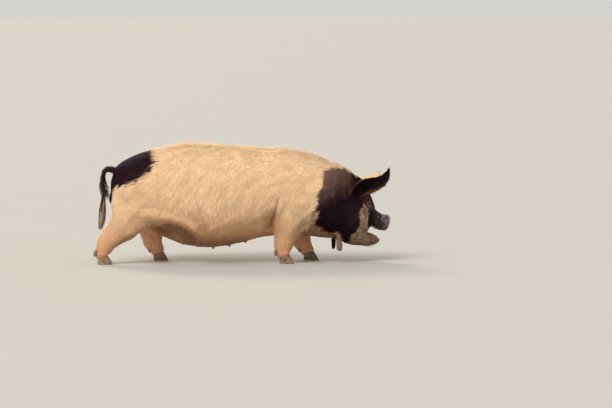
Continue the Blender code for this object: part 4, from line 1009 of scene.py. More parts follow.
def throat_mottle(q):
    """Brown mottling of the throat and the chest, between 0 and 1."""
    mottle = ripple(q, 0.016, 16) + 0.5 * ripple(q, 0.007, 17)
    return spot(q, *THROAT_SPOT) * (0.35 + 0.65 * smoothstep(mottle, -0.4, 0.8))


def dangling(q):
    """1 on what hangs from the belly and the throat, 0 on the trunk itself."""
    x, y, z = q.T
    low = smoothstep(under_line(x, y) - z, 0.000, 0.004)
    return low * (np.abs(y) < 0.14) * (x > -0.38) * (leg_share(q) < 0.2)


def wattle_share(q):
    """1 on the two wattles, 0 elsewhere."""
    x, _, z = q.T
    share = np.zeros(len(q))
    near = (x > 0.46) & (x < 0.55) & (z < 0.18)
    for path in (wattle_rows(*held) for held in WATTLES):
        away = np.linalg.norm(q[near, None, :] - path[None, 1:, :3], axis=2) / path[None, 1:, 3]
        share[near] = np.maximum(share[near], 1 - smoothstep(away.min(1), 1.25, 1.60))
    return share


def disc_place(q):
    """How far ahead on the leaning snout a place is, and how far out from its middle in the disc's radii."""
    ahead = q[:, 0] - DISC_LEAN * (q[:, 2] - DISC_HEIGHT)
    return ahead, np.hypot(q[:, 1] / DISC_RADII[0], (q[:, 2] - DISC_HEIGHT) / DISC_RADII[1])


def rust_share(q, up_ear, over_ear, right_ear):
    """Painted orange rim light on the right ear's lower edge and low on its other edge, and rusty hair below
    the ear's root and in a spot on the nape.
    """
    # Painted rim light: orange along the right ear's lower edge and on its other edge near the root.
    rust = smoothstep(over_ear, 0.78, 1.0) * band(up_ear, 0.06, 0.20, 0.50, 0.85)
    rust += (1 - smoothstep(over_ear, 0.02, 0.12)) * band(up_ear, 0.01, 0.05, 0.12, 0.22)
    nape = spot(q, *NAPE_SPOT) * (q[:, 1] < 0)
    root = spot(q, *EAR_ROOT_SPOT) * (q[:, 1] < -0.04)
    return np.clip(0.9 * 0.85 * right_ear * rust + 0.6 * nape + 0.55 * root, 0, 1)


def plum_share(q):
    """Purple cast of the black, strongest high on the neck and round the eyes, where it is partly a painted
    sheen.
    """
    x, _, z = q.T
    fade = z - 0.55 * (x - 0.44) + 0.010 * ripple(q, 0.040, 14) + 0.008 * ripple(q, 0.018, 15)
    plum = smoothstep(fade, 0.262, 0.430) * smoothstep(0.61 - x, 0, 0.06) * (x > 0)
    plum = np.maximum(np.maximum(plum, 0.07 * spot(q, *CHEEK_SPOT)), 0.03 * (x < 0))
    patchy = 0.6 + 0.4 * np.clip(ripple(q, 0.014, 19), -1, 1)
    return np.maximum(plum, 0.85 * patchy * bell(eye_distance(q) - 0.022, 0.012))


def shade_share(q, elbow):
    """Painted shade, a dark brown, under the flank's fold, along the belly and in the elbow's crease; the
    same brown on the chest and in the throat's mottling.
    """
    x, _, z = q.T
    chest = smoothstep(0.180 - z, 0, 0.05) * band(x, 0.32, 0.40, 0.50, 0.55)
    # Painted shade along the underside of the belly.
    belly = smoothstep(0.145 - z, 0, 0.05) * (x < 0.48) * 0.8
    # Painted shade in the hollow beneath the flank's fold, dark right from the fold's edge.
    shade = np.maximum(under_fold(q, 0.005), belly)
    shade = np.maximum(shade, np.maximum(chest * 0.8, throat_mottle(q))) * (1 - leg_share(q))
    # Painted shade in the elbow's crease.
    return np.maximum(shade, 0.55 * elbow * smoothstep(0.30 - z, 0, 0.05))


def blush_share(q, elbow, left_ear):
    """Pink of the hide, strongest where the hair is thin."""
    x, _, z = q.T
    under = smoothstep(0.30 - z, 0, 0.22)
    belly = smoothstep(0.17 - z, -0.02, 0.06) * smoothstep(0.45 - np.abs(x + 0.05), 0, 0.1)
    feet = 1 - smoothstep(z, 0.03, 0.20)
    blush = 0.10 + 0.35 * under + 0.5 * belly + 0.75 * spot(q, *GROIN_SPOT)
    # At the elbow the hide is pinker and darker: partly its own colour, partly painted shade in the crease.
    blush += 0.9 * elbow + 0.55 * feet - 0.10 * left_ear
    return np.clip(blush + 0.10 * ripple(q, 0.12, 13), 0, 1)


def markings(q):
    """Shares of each colour and kind of skin, and of the painted shade, rim light, sheen and highlights, at
    each place of the straight animal.
    """
    x, y, z = q.T
    ear, up_ear, over_ear, _ = ear_places(q)
    left_ear = smoothstep(ear, 0.1, 0.6) * (y > 0)
    right_ear = smoothstep(ear, 0.1, 0.6) * (y < 0)
    bare = muzzle_front(q)
    blaze = smoothstep(blaze_depth(q), -0.004, 0.006)
    blaze *= 1 - 0.75 * smoothstep(y, 0.0, 0.05) * smoothstep(z, 0.14, 0.19)
    tan = blaze * (1 - bare) * (1 - ear)
    black = smoothstep(black_depth(q) + rag_of(q), -0.004, 0.004) * (1 - tan)
    far = smoothstep(y, 0.045, 0.060) * smoothstep(x, 0.640, 0.660)
    far *= smoothstep(z, 0.352, 0.366)
    black = np.maximum(black, right_ear) * (1 - np.maximum(left_ear, far))
    wattle = wattle_share(q)
    tan = np.maximum(tan, wattle * (y < 0))
    black = np.where(wattle > 0.3, (y > 0).astype(float), black)
    elbow = spot(q, *ELBOW_SPOT)
    ahead, disc = disc_place(q)
    flesh = mouth_depth(q)
    return {
        "black": np.clip(black, 0, 1),
        "tan": np.clip(tan, 0, 1),
        "blush": blush_share(q, elbow, left_ear),
        "rust": rust_share(q, up_ear, over_ear, right_ear),
        "plum": plum_share(q),
        "shade": shade_share(q, elbow),
        "lip": np.maximum(lip_share(q), wrinkle_share(q)),
        "bare": bare,
        "rim": 0.65 * smoothstep(ahead, 0.757, 0.764) * smoothstep(disc, 0.72, 0.90),
        "flesh": flesh,
        # Painted shade deep in the nostrils and at the back of the open mouth.
        "hole": np.maximum(nostril_depth(q), 0.75 * flesh * smoothstep(0.700 - x, 0, 0.045)),
    }


def set_attribute(obj, name, values):
    layer = obj.data.attributes.new(name, "FLOAT", "POINT")
    layer.data.foreach_set("value", np.asarray(values, np.float32))


def mark(obj, **fixed):
    """Gives a piece that isn't on the frame yet the shared markings, or the fixed ones, at its points."""
    for name, values in markings(straightened(points_of(obj))).items():
        set_attribute(obj, name, np.full(len(values), fixed[name]) if name in fixed else values)
    return obj


# Material nodes, written as sums


class Wire:
    """The value of a node's output, which sums and products take like a number."""

    def __init__(self, board, socket):
        self.board = board
        self.socket = socket

    def maths(self, operation, first, second):
        return self.board.node("ShaderNodeMath", {"operation": operation}, {0: first, 1: second})

    def __add__(self, other):
        return self.maths("ADD", self, other)

    def __radd__(self, other):
        return self.maths("ADD", other, self)

    def __sub__(self, other):
        return self.maths("SUBTRACT", self, other)

    def __rsub__(self, other):
        return self.maths("SUBTRACT", other, self)

    def __mul__(self, other):
        return self.maths("MULTIPLY", self, other)

    def __rmul__(self, other):
        return self.maths("MULTIPLY", other, self)

    def step(self, low, high):
        settings = {"interpolation_type": "SMOOTHSTEP", "clamp": True}
        return self.board.node("ShaderNodeMapRange", settings, {0: self, 1: low, 2: high, 3: 0.0, 4: 1.0})

    def clipped(self):
        return self.maths("MINIMUM", self.maths("MAXIMUM", self, 0.0), 1.0)


class Board:
    """One material and its nodes."""

    def __init__(self, name):
        self.material = bpy.data.materials.new(name)
        self.material.use_nodes = True
        self.tree = self.material.node_tree
        self.shader = self.tree.nodes["Principled BSDF"]

    def node(self, kind, settings, inputs, out=0):
        """A node by its type, then its settings, then what goes into its sockets."""
        made = self.tree.nodes.new(kind)
        for key, value in settings.items():
            setattr(made, key, value)
        for key, value in inputs.items():
            self.feed(made.inputs[key], value)
        return Wire(self, made.outputs[out])

    def feed(self, socket, value):
        if isinstance(value, Wire):
            self.tree.links.new(value.socket, socket)
        elif socket.type == "RGBA" and len(value) == 3:
            socket.default_value = (*value, 1.0)
        else:
            socket.default_value = value

    def place(self):
        return self.node("ShaderNodeTexCoord", {}, {}, "Object")

    def attributes(self, names):
        """One value for each of the names in a line of words."""
        for name in names.split():
            settings = {"attribute_type": "GEOMETRY", "attribute_name": name}
            yield self.node("ShaderNodeAttribute", settings, {}, "Fac")

    def stretched(self, place, scale):
        return self.node("ShaderNodeMapping", {}, {"Vector": place, "Scale": scale})

    def noise(self, place, scale, detail=2.0):
        return self.node("ShaderNodeTexNoise", {}, {"Vector": place, "Scale": scale, "Detail": detail})

    def cells(self, place, scale):
        settings = {"feature": "DISTANCE_TO_EDGE"}
        return self.node("ShaderNodeTexVoronoi", settings, {"Vector": place, "Scale": scale})

    def mix(self, share, first, second):
        return self.node("ShaderNodeMix", {"data_type": "RGBA"}, {0: share, 6: first, 7: second}, 2)

    def shade(self, colour, factor):
        return self.node("ShaderNodeVectorMath", {"operation": "SCALE"}, {0: colour, 3: factor})

    def bump(self, height, distance, strength=1.0):
        return self.node("ShaderNodeBump", {}, {"Height": height, "Distance": distance, "Strength": strength})

    def finished(self, varied, fixed):
        for key, value in [*varied.items(), *fixed.items()]:
            self.feed(self.shader.inputs[key], value)
        return self.material


def once(make):
    """Lets a material be made only once and then found by its name."""

    @functools.wraps(make)
    def found():
        name = make.__name__.replace("_", "-")
        return bpy.data.materials.get(name) or make(Board(name), settings().colours)

    return found


@once
def hide_skin(board, colours):
    place = board.place()
    black, tan, blush, rust, plum = board.attributes("black tan blush rust plum")
    bare, rim, flesh, hole, shade, lip = board.attributes("bare rim flesh hole shade lip")
    blotch = board.noise(place, 26.0, 3.0) - 0.5
    grain = board.noise(place, 340.0, 2.0)
    creases = board.cells(place, 430.0)
    pale = board.mix((blush + blotch * 0.5).clipped(), colours.hide, colours.blush)
    # Painted shade: a dark reddish brown under the flank's fold, along the belly and in the elbow's crease,
    # also browning the chest and the mottled throat.
    pale = board.mix(shade * 0.75, pale, (0.24, 0.090, 0.052))
    pale = board.mix(tan, pale, colours.tan)
    # The black hide's purple cast, partly a painted sheen high on the neck and round the eyes.
    dark = board.mix(plum, colours.black, colours.plum)
    # Orange over the black: painted rim light on the right ear's edges, and rusty skin below the ear and on
    # the nape.
    dark = board.mix(rust, dark, (0.17, 0.058, 0.018))
    colour = board.mix((black + blotch * 0.06).clipped(), pale, dark)
    sheen = board.noise(board.stretched(place, (1.6, 1.0, 0.8)), 52.0, 3.0).step(0.42, 0.66)
    slate = board.mix(sheen, colours.snout, (0.250, 0.175, 0.190))
    colour = board.mix(bare, colour, slate)
    worn = 0.45 + 0.5 * board.noise(place, 75.0, 2.0).step(0.38, 0.62)
    colour = board.mix(bare * rim * worn, colour, colours.rim)
    # Pinkish lips and lower lids, and painted pinkish highlights on the crests of the face's folds and on the
    # lower lids.
    colour = board.mix(lip * 0.85, colour, (0.32, 0.175, 0.130))
    colour = board.mix(flesh, colour, colours.flesh)
    # Painted shade, nearly black, deep in the nostrils and at the back of the open mouth.
    colour = board.mix(hole, colour, (0.012, 0.006, 0.006))
    colour = board.shade(colour, 0.90 + 0.22 * grain)
    rough = 0.70 - 0.26 * bare - 0.38 * flesh + 0.12 * blotch
    height = grain * 0.30 + creases.step(0.0, 0.25) * (0.14 + bare * 0.12) + blotch * bare * 0.8
    varied = {
        "Base Color": colour,
        "Roughness": rough,
        "Coat Weight": (flesh * 0.7 + bare * 0.25).clipped(),
        "Normal": board.bump(height, 0.0011, 0.9),
    }
    fixed = {"Subsurface Weight": 0.06, "Subsurface Radius": (0.010, 0.004, 0.002), "Coat Roughness": 0.22}
    fixed["Specular IOR Level"] = 0.15
    return board.finished(varied, fixed)


@once
def hair(board, colours):
    black, grey, warm, rust, plum, tone, pale = board.attributes("black grey warm rust plum tone pale")
    # Warm hair where the hide shows through, which also stands for painted shade low on the body and under
    # the flank's fold.
    colour = board.mix(warm, colours.hair, colours.warm_hair)
    colour = board.mix(grey, colour, colours.grey_hair)
    # Brown hairs, and the black hair's purple cast, partly a painted sheen high on the neck and round the
    # eyes.
    dark = board.mix(plum, colours.dark_hair, (0.185, 0.105, 0.092))
    # Orange over the black hair: painted rim light on the right ear's edges, and rusty hair on the nape and
    # below the ear.
    dark = board.mix(rust, dark, (0.15, 0.050, 0.015))
    colour = board.mix(black, colour, dark)
    colour = board.mix(pale, colour, colours.switch)
    across = board.node("ShaderNodeUVMap", {"uv_map": "OFBake"}, {})
    threads = board.noise(board.stretched(across, (2600.0, 130.0, 1.0)), 1.0, 1.0)
    # Besides random variation, tone darkens the hair as painted shade and lightens the legs' inner sides as
    # painted light.
    colour = board.shade(colour, 0.82 + tone * 0.20 + threads * 0.36)
    varied = {"Base Color": colour, "Roughness": 0.55 + tone * 0.10}
    varied["Normal"] = board.bump(threads, 0.0006, 0.5)
    return board.finished(varied, {"Specular IOR Level": 0.03})


@once
def horn(board, colours):
    place = board.place()
    rings = board.noise(board.stretched(place, (0.30, 0.30, 1.0)), 150.0, 2.0)
    fibres = board.noise(board.stretched(place, (1.0, 1.0, 0.25)), 620.0, 3.0)
    stain = board.noise(place, 60.0, 3.0)
    colour = board.mix(stain.step(0.35, 0.70), colours.horn, (0.095, 0.060, 0.040))
    colour = board.shade(colour, 0.80 + 0.2 * fibres + 0.2 * rings)
    height = rings * 0.8 + fibres * 0.2
    varied = {
        "Base Color": colour,
        "Roughness": 0.42 + 0.25 * stain,
        "Normal": board.bump(height, 0.0010, 0.8),
    }
    return board.finished(varied, {"Specular IOR Level": 0.45})


@once
def eye_gloss(board, colours):
    ray, around = board.attributes("ray around")
    fibres = board.node(
        "ShaderNodeTexNoise",
        {"noise_dimensions": "2D"},
        {"Vector": board.node("ShaderNodeCombineXYZ", {}, {0: around * 9.0, 1: ray * 1.5}), "Scale": 2.0},
    )
    iris = board.shade(colours.iris, 0.5 + 1.2 * fibres)
    veins = board.noise(board.place(), 300.0, 3.0).step(0.45, 0.7)
    white = board.mix(veins, (0.42, 0.30, 0.25), (0.34, 0.13, 0.10))
    colour = board.mix(ray.step(0.76, 0.84), iris, white)
    colour = board.mix(ray.step(0.26, 0.32), (0.0015, 0.0012, 0.0015), colour)
    varied = {"Base Color": colour, "Roughness": 0.04 + 0.05 * ray}
    return board.finished(varied, {"Specular IOR Level": 0.26})


@once
def tongue_flesh(board, colours):
    place = board.place()
    bumps = board.cells(place, 420.0)
    spots = board.noise(place, 110.0, 2.0)
    colour = board.mix(spots.step(0.3, 0.7), colours.flesh, (0.52, 0.20, 0.16))
    varied = {
        "Base Color": colour,
        "Roughness": 0.30 + 0.15 * spots,
        "Normal": board.bump(bumps.step(0.0, 0.3), 0.0006, 0.8),
    }
    return board.finished(varied, {"Coat Weight": 0.5, "Subsurface Weight": 0.1})


@once
def studio_floor(board, colours):
    tint = board.noise(board.place(), 1.2, 3.0)
    colour = board.shade(settings().stage.floor, 0.985 + 0.03 * tint)
    varied = {"Base Color": colour, "Roughness": 0.82 + 0.05 * tint}
    return board.finished(varied, {"Specular IOR Level": 0.1})


# The skin


def under_line(x, y):
    """Height of the trunk's underside at a place along and across it."""
    top, under, half, wide, below = section_at(TRUNK, x, TOP, UNDER, HALF, WIDE, BELOW, count=300)
    middle = under + wide * (top - under)
    share = np.clip(np.abs(y) / np.maximum(half, 1e-6), 0, 1)
    return middle - (middle - under) * (1 - share**below) ** (1 / below)


def teat_form(x, side):
    y = TEAT_SPREAD * side
    root = np.array((x, y, float(under_line(x, y))))
    out = unit(np.array((0.0, 0.30 * side, -1.0)))
    rows = [
        (*(root + out * reach), TEAT_RADIUS * swell)
        for reach, swell in ((-0.007, 1.7), (0.001, 1.25), (0.007, 0.95), (0.012, 0.90), (TEAT_LENGTH, 0.45))
    ]
    return drawn_ball("teat", pipe_rings(catmull_rom(rows, 14), 16))


def wattle_rows(place, swing):
    """A wattle's middle line from inside the throat down to its tip: place, radius."""
    share = np.linspace(0, 1, 24)
    path = np.array(place) + share[:, None] * (swing, 0, -WATTLE_LENGTH)
    path[:, 0] += np.sin(share * math.pi) * swing * 0.4
    path[:, 1] += np.sin(share * math.pi / 2) * WATTLE_FLARE * np.sign(place[1])
    radii = WATTLE_RADIUS * np.interp(share, (0, 0.3, 0.75, 0.93, 1), (1.35, 0.95, 1.10, 0.85, 0.3))
    return np.column_stack([path, radii])


def tail_rows():
    return catmull_rom(TAIL, 90)


def skin_forms():
    """The overlapping forms of flesh that are melted into one skin, on the straight animal."""
    forms = [drawn_ball("trunk", section_rings(TRUNK, 150, 72))]
    muzzle = np.array(section_rings(MUZZLE, 48, 48))
    low_x, high_x = MUZZLE[3][0], MUZZLE[6][0]
    muzzle[..., 0] += DISC_LEAN * (muzzle[..., 2] - DISC_HEIGHT) * smoothstep(muzzle[..., 0], low_x, high_x)
    forms.append(drawn_ball("muzzle", muzzle))
    forms.append(drawn_ball("jaw", section_rings(JAW, 40, 40)))
    forms += [drawn_ball("leg", leg_rings(table, 44, 32)) for table in LEGS.values()]
    for (x, y, z), radii, both in SWELLS:
        for side in (1, -1) if both else (1,):
            forms.append(ellipsoid("swell", (x, y * side, z), radii))
    for side in (1, -1):
        fold = catmull_rom(FLANK_FOLD, 40)
        fold[:, 1] *= side
        forms.append(drawn_ball("fold", pipe_rings(fold, 24)))
        forms += [teat_form(x, side) for x in TEAT_PLACES]
    for toe, y, _ in FEET.values():
        for side in (-1, 1):
            centre = (toe - TOE_BACK, y + side * CLAW_SPREAD, TOE_HEIGHT)
            forms.append(ellipsoid("toe", centre, TOE_RADII))
    forms += [drawn_ball("wattle", pipe_rings(wattle_rows(*held), 20, 0.8)) for held in WATTLES]
    core = tail_rows()
    forms.append(drawn_ball("tail", pipe_rings(core[core[:, 3] > 0.0046], 20)))
    return [bent(form) for form in forms]


def weigh(obj, name, weights, levels=30):
    """A vertex group with a weight for each point."""
    group = obj.vertex_groups.new(name=name)
    steps = np.rint(np.clip(weights, 0, 1) * levels).astype(int)
    for level in range(1, levels + 1):
        chosen = np.flatnonzero(steps == level)
        if len(chosen):
            group.add(chosen.tolist(), level / levels, "REPLACE")
    return group.name


def tail_share(q):
    """1 on the tail's core, 0 elsewhere."""
    x, y, z = q.T
    share = np.zeros(len(q))
    near = np.flatnonzero((x < -0.585) & (np.abs(y) < 0.05) & (z > 0.2))
    core = tail_rows()
    core = core[core[:, 0] < -0.600]
    away = np.linalg.norm(q[near, None, :] - core[None, :, :3], axis=2) / core[None, :, 3]
    share[near] = 1 - smoothstep(away.min(1), 1.15, 1.45)
    return share


def soft_share(q):
    """How much each place of the raw skin is smoothed: fully on the body, little on what is small."""
    x, _, z = q.T
    share = 1 - 0.92 * smoothstep(x, 0.45, 0.54)
    share = share * (1 - 0.97 * np.maximum(dangling(q), wattle_share(q)))
    share = share * (1 - 0.97 * tail_share(q))
    return share * (0.12 + 0.88 * smoothstep(z, 0.050, 0.085))


def leg_places(q):
    """How far out each place is from the nearest leg's middle in its own radii, the leg and the angle."""
    best = np.full(len(q), 9.0)
    owner, angle = np.zeros(len(q)), np.zeros(len(q))
    for number, table in enumerate(LEGS.values()):
        rows = catmull_rom(table, 60)[::-1]
        x, y, depth, width = (np.interp(q[:, 2], rows[:, 1], rows[:, column]) for column in (0, 2, 3, 4))
        fore, across = (q[:, 0] - x) / (1.30 * depth), (q[:, 1] - y) / (1.35 * width)
        away = np.hypot(fore, across)
        nearer = away < best
        best[nearer] = away[nearer]
        owner[nearer] = number
        angle[nearer] = np.arctan2(across, fore)[nearer]
    return best, owner, angle


def leg_share(q):
    """1 on the columns of the legs, 0 on the body above and between them."""
    best, _, _ = leg_places(q)
    return (1 - smoothstep(best, 0.95, 1.25)) * (1 - smoothstep(q[:, 2], 0.19, 0.27))


def groove(flat, line, width, depth):
    away, share = line_distance(flat, line)
    return -depth * bell(away, width) * band(share, 0.0, 0.12, 0.88, 1.0)


def lump(q, centre, radius, height):
    return height * bell(np.linalg.norm(q - np.array(centre), axis=1), radius)


def body_relief(q):
    """Folds, creases and bones of the trunk and legs, as heights along the skin's normal."""
    flat, side = q[:, [0, 2]], np.abs(q[:, 1])
    outer = smoothstep(side, 0.085, 0.125)
    raised = ripple(q, 0.110, 21) * 0.0014 + ripple(q, 0.045, 22) * 0.0006
    for line, shift, width, depth in BODY_CREASES:
        raised += groove(flat, np.array(line) + shift, width, depth) * outer
    raised -= HOLLOW_DEPTH * under_fold(q) * (side > 0.03)
    for line, width, depth in NECK_CREASES:
        raised += groove(flat, line, width, depth) * smoothstep(side, 0.03, 0.09)
    for centre, radius, height in BONES:
        raised += lump(q, centre, radius, height)
    pastern = band(q[:, 2], 0.030, 0.045, 0.055, 0.10)
    return raised + pastern * 0.0006 * np.sin(q[:, 2] * 700)


def head_relief(q):
    """Lids, wrinkles, lips and the snout's disc, as heights along the skin's normal."""
    flat, side = q[:, [0, 2]], np.abs(q[:, 1])
    x, z = q[:, 0], q[:, 2]
    eye = eye_distance(q)
    low = smoothstep(EYE_CENTRE[2] + 0.006 - z, 0, 0.012)
    high = smoothstep(z - EYE_CENTRE[2], 0.004, 0.012)
    raised = np.zeros(len(q))
    for away, width, height, beneath, above in EYE_RINGS:
        raised += height * bell(eye - away, width) * (beneath * low + above * high)
    for line, width, depth in FACE_CREASES:
        raised += groove(flat, line, width, depth) * smoothstep(side, 0.018, 0.035)
    wrinkles = band(x, 0.690, 0.710, 0.742, 0.750) * smoothstep(z, 0.155, 0.175)
    wavy = x + 0.12 * z + 0.0022 * np.sin(q[:, 1] * 130)
    raised += wrinkles * 0.0016 * np.sin(wavy * 2 * math.pi / WRINKLE_STEP)
    top, under = section_at(GAPE, x, TOP, UNDER)
    lips = band(x, 0.640, 0.662, 0.750, 0.765) * smoothstep(side, 0.012, 0.026)
    for upper, away, width, height in LIP_RIDGES:
        raised += lips * height * bell((z - top if upper else under - z) - away, width)
    ahead, disc = disc_place(q)
    front = smoothstep(ahead, 0.7645, 0.7700)
    raised += front * (0.0012 * bell(disc - 0.90, 0.09) - 0.0020 * (1 - smoothstep(disc, 0.45, 0.80)))
    raised -= front * 0.0022 * bell(q[:, 1], 0.0028) * (1 - smoothstep(z, 0.168, 0.188))
    raised += ripple(q, 0.030, 23) * 0.0006 + ripple(q, 0.013, 24) * 0.0003
    return raised


def coat_room(q):
    """How far the skin lies under the coat's outside."""
    x, _, z = q.T
    sizes = settings().body
    face = smoothstep(x, 0.50, 0.60)
    leg = leg_share(q) * (1 - smoothstep(z, 0.06, 0.22))
    small = np.maximum(np.maximum(face, leg), tail_share(q))
    small = np.maximum(small, dangling(q))
    return sizes.coat_depth + (sizes.face_depth - sizes.coat_depth) * small


def carve(skin):
    """Sinks the skin by the coat's depth and draws its folds and lumps out of it."""
    points, normals = points_of(skin), normals_of(skin)
    q = straightened(points)
    head = smoothstep(q[:, 0], *HEAD_RELIEF_FROM)
    calm = 1 - np.maximum(mouth_depth(q, 0.001), nostril_depth(q))
    raised = body_relief(q) * (1 - head) * (1 - 0.8 * tail_share(q)) + head_relief(q) * head
    place_points(skin, points + normals * (raised * calm - coat_room(q))[:, None])


def eye_frame(side):
    """An eye's middle on the straight animal, the way that it looks, and the lids' ways ahead and up."""
    look = unit(np.array(EYE_LOOKS) * (1, side, 1))
    up = unit(np.array((0.0, 0.0, 1.0)) - look * look[2])
    ahead = np.cross(up, look) * -side
    lean = math.cos(EYE_SLANT), math.sin(EYE_SLANT)
    return (
        np.array(EYE_CENTRE) * (1, side, 1),
        look,
        ahead * lean[0] + up * lean[1],
        up * lean[0] - ahead * lean[1],
    )


def open_eyes(skin):
    for side in (-1, 1):
        centre, look, ahead, up = eye_frame(side)
        almond = unit_ball("almond", 40, 24)
        local = points_of(almond) * ALMOND_RADII
        place_points(almond, centre + look * ALMOND_OUT + local @ np.array([ahead, up, look]))
        cut(skin, bent(almond))
        cut(skin, bent(ellipsoid("socket", centre, (EYE_RADIUS + 0.0004,) * 3, 40, 24)))


def add_ears(skin):
    for side in (-1, 1):
        sheets, _ = ear_sheets(side)
        rings = np.concatenate([sheets[0], sheets[1][:, ::-1]], axis=1)
        ear = drawn_ball("ear", rings)
        points = points_of(ear)
        waves = 0.0009 * ripple(points, 0.030, 31 + side) + 0.0004 * ripple(points, 0.011, 33 + side)
        place_points(ear, points + normals_of(ear) * waves[:, None])
        cut(skin, bent(ear), "UNION")


class SOW_OT_skin(bpy.types.Operator):
    """Melt the body's forms into one skin, open its mouth, nostrils and eyes, and carve its folds"""

    bl_idname = "sow.skin"
    bl_label = "Skin"
    bl_options = {"REGISTER", "UNDO"}

    def execute(self, context):
        sizes = settings().body
        voxel = sizes.voxel * 1
        skin = joined("skin", skin_forms())
        melt(skin, voxel)
        soft = weigh(skin, "soft", soft_share(straightened(points_of(skin))))
        passes = round((SOFT_REACH / voxel) ** 2 * 2)
        apply_modifier(skin, "SMOOTH", factor=0.5, iterations=passes, vertex_group=soft)
        skin.vertex_groups.clear()
        cut(skin, bent(drawn_ball("gape", section_rings(GAPE, 60, 48))))
        for side in (-1, 1):
            x, y, z = NOSTRIL_CENTRE
            cut(skin, bent(ellipsoid("nostril", (x, y * side, z), NOSTRIL_RADII)))
        melt(skin, voxel * 0.85)
        apply_modifier(skin, "SMOOTH", factor=0.5, iterations=3)
        carve(skin)
        add_ears(skin)
        ear, up, _, _ = ear_places(straightened(points_of(skin)))
        relax(skin, 0.5 * (ear > 0) * (1 - smoothstep(up, 0.18, 0.30)), 5)
        open_eyes(skin)
        q = straightened(points_of(skin))
        keep = np.maximum(smoothstep(q[:, 0], 0.52, 0.60), 1 - smoothstep(q[:, 2], 0.05, 0.12))
        thin = weigh(skin, "thin", 1 - 0.93 * keep)
        skin.data.calc_loop_triangles()
        share = sizes.triangles * 1 / len(skin.data.loop_triangles)
        apply_modifier(skin, "DECIMATE", ratio=min(1.0, share), vertex_group=thin)
        skin.vertex_groups.clear()
        smooth_shaded(mark(skin))
        finish_piece(onto_frame(skin), hide_skin(), FLESH_NODES)
        return {"FINISHED"}


# Eyes, tongue and claws


def eyeball(name, side):
    centre, look, ahead, up = eye_frame(side)
    ball = unit_ball(name, 64, 48)
    local = points_of(ball)
    ray = np.arccos(np.clip(local[:, 2], -1, 1))
    bulge = 1 + 0.075 * (1 - smoothstep(ray, 0.25, 0.90))
    place_points(ball, centre + EYE_RADIUS * bulge[:, None] * (local @ np.array([ahead, up, look])))
    set_attribute(ball, "ray", ray)
    set_attribute(ball, "around", np.arctan2(local[:, 1], local[:, 0] * 1.25) / math.pi)
    face_outwards(ball)
    return smooth_shaded(bent(ball))


def lid_rim(name, side):
    """The thick edge of both lids, drawn from a ring to the almond on the eyeball."""
    centre, look, ahead, up = eye_frame(side)
    nothing_selected()
    bpy.ops.mesh.primitive_torus_add(major_segments=96, minor_segments=16, minor_radius=0.25)
    ring = bpy.context.active_object
    ring.name = name
    local = points_of(ring)
    around = np.arctan2(local[:, 1], local[:, 0])
    tube = np.arctan2(local[:, 2], np.hypot(local[:, 0], local[:, 1]) - 1)

    def middle(angle):
        fore = LID_HALF * np.cos(angle)
        reach = np.where(np.sin(angle) > 0, LID_ABOVE, LID_BELOW)
        high = reach * np.sign(np.sin(angle)) * np.abs(np.sin(angle)) ** LID_ROUND
        out = np.outer(np.cos(fore) * np.cos(high), look)
        return unit(np.outer(np.sin(fore), ahead) + np.outer(np.sin(high), up) + out)

    out = middle(around)
    path = unit(middle(around + 0.01) - middle(around - 0.01))
    side_way = unit(np.cross(path, out))
    thick = LID_THICK * (0.40 + 0.60 * np.abs(np.sin(around)) ** 0.6)
    thick *= np.where(np.sin(around) > 0, 1.10, 0.80)
    rise = EYE_RADIUS + 0.0006 + thick * (0.25 + np.cos(tube))
    place_points(ring, centre + out * rise[:, None] + side_way * (thick * 1.25 * np.sin(tube))[:, None])
    face_outwards(ring)
    # The lower lid is paler pink: partly its own colour, partly a painted highlight.
    pale = 0.10 + 0.62 * smoothstep(-np.sin(around), 0.0, 0.7)
    return smooth_shaded(mark(bent(ring), black=1.0, tan=0.0, plum=0.8, lip=pale))


class SOW_OT_eyes(bpy.types.Operator):
    """Both eyeballs, and the rims of their lids"""

    bl_idname = "sow.eyes"
    bl_label = "Eyes"
    bl_options = {"REGISTER", "UNDO"}

    def execute(self, context):
        for side, word in ((-1, "right"), (1, "left")):
            ball = onto_frame(eyeball(f"eyeball_{word}", side))
            finish_piece(ball, eye_gloss(), (f"eye_{word}",))
            rim = onto_frame(lid_rim(f"lids_{word}", side))
            finish_piece(rim, hide_skin())
        return {"FINISHED"}


class SOW_OT_tongue(bpy.types.Operator):
    """The tongue that shows between the lips"""

    bl_idname = "sow.tongue"
    bl_label = "Tongue"
    bl_options = {"REGISTER", "UNDO"}

    def execute(self, context):
        tongue = drawn_ball("tongue_flesh", section_rings(TONGUE, 60, 48))
        points = points_of(tongue)
        above = smoothstep(points[:, 2], 0.105, 0.130)
        points[:, 2] -= (0.0030 * bell(points[:, 1], 0.0045) + 0.0006 * ripple(points, 0.012, 41)) * above
        place_points(tongue, points)
        finish_piece(onto_frame(smooth_shaded(bent(tongue))), tongue_flesh(), ("tongue",))
        return {"FINISHED"}


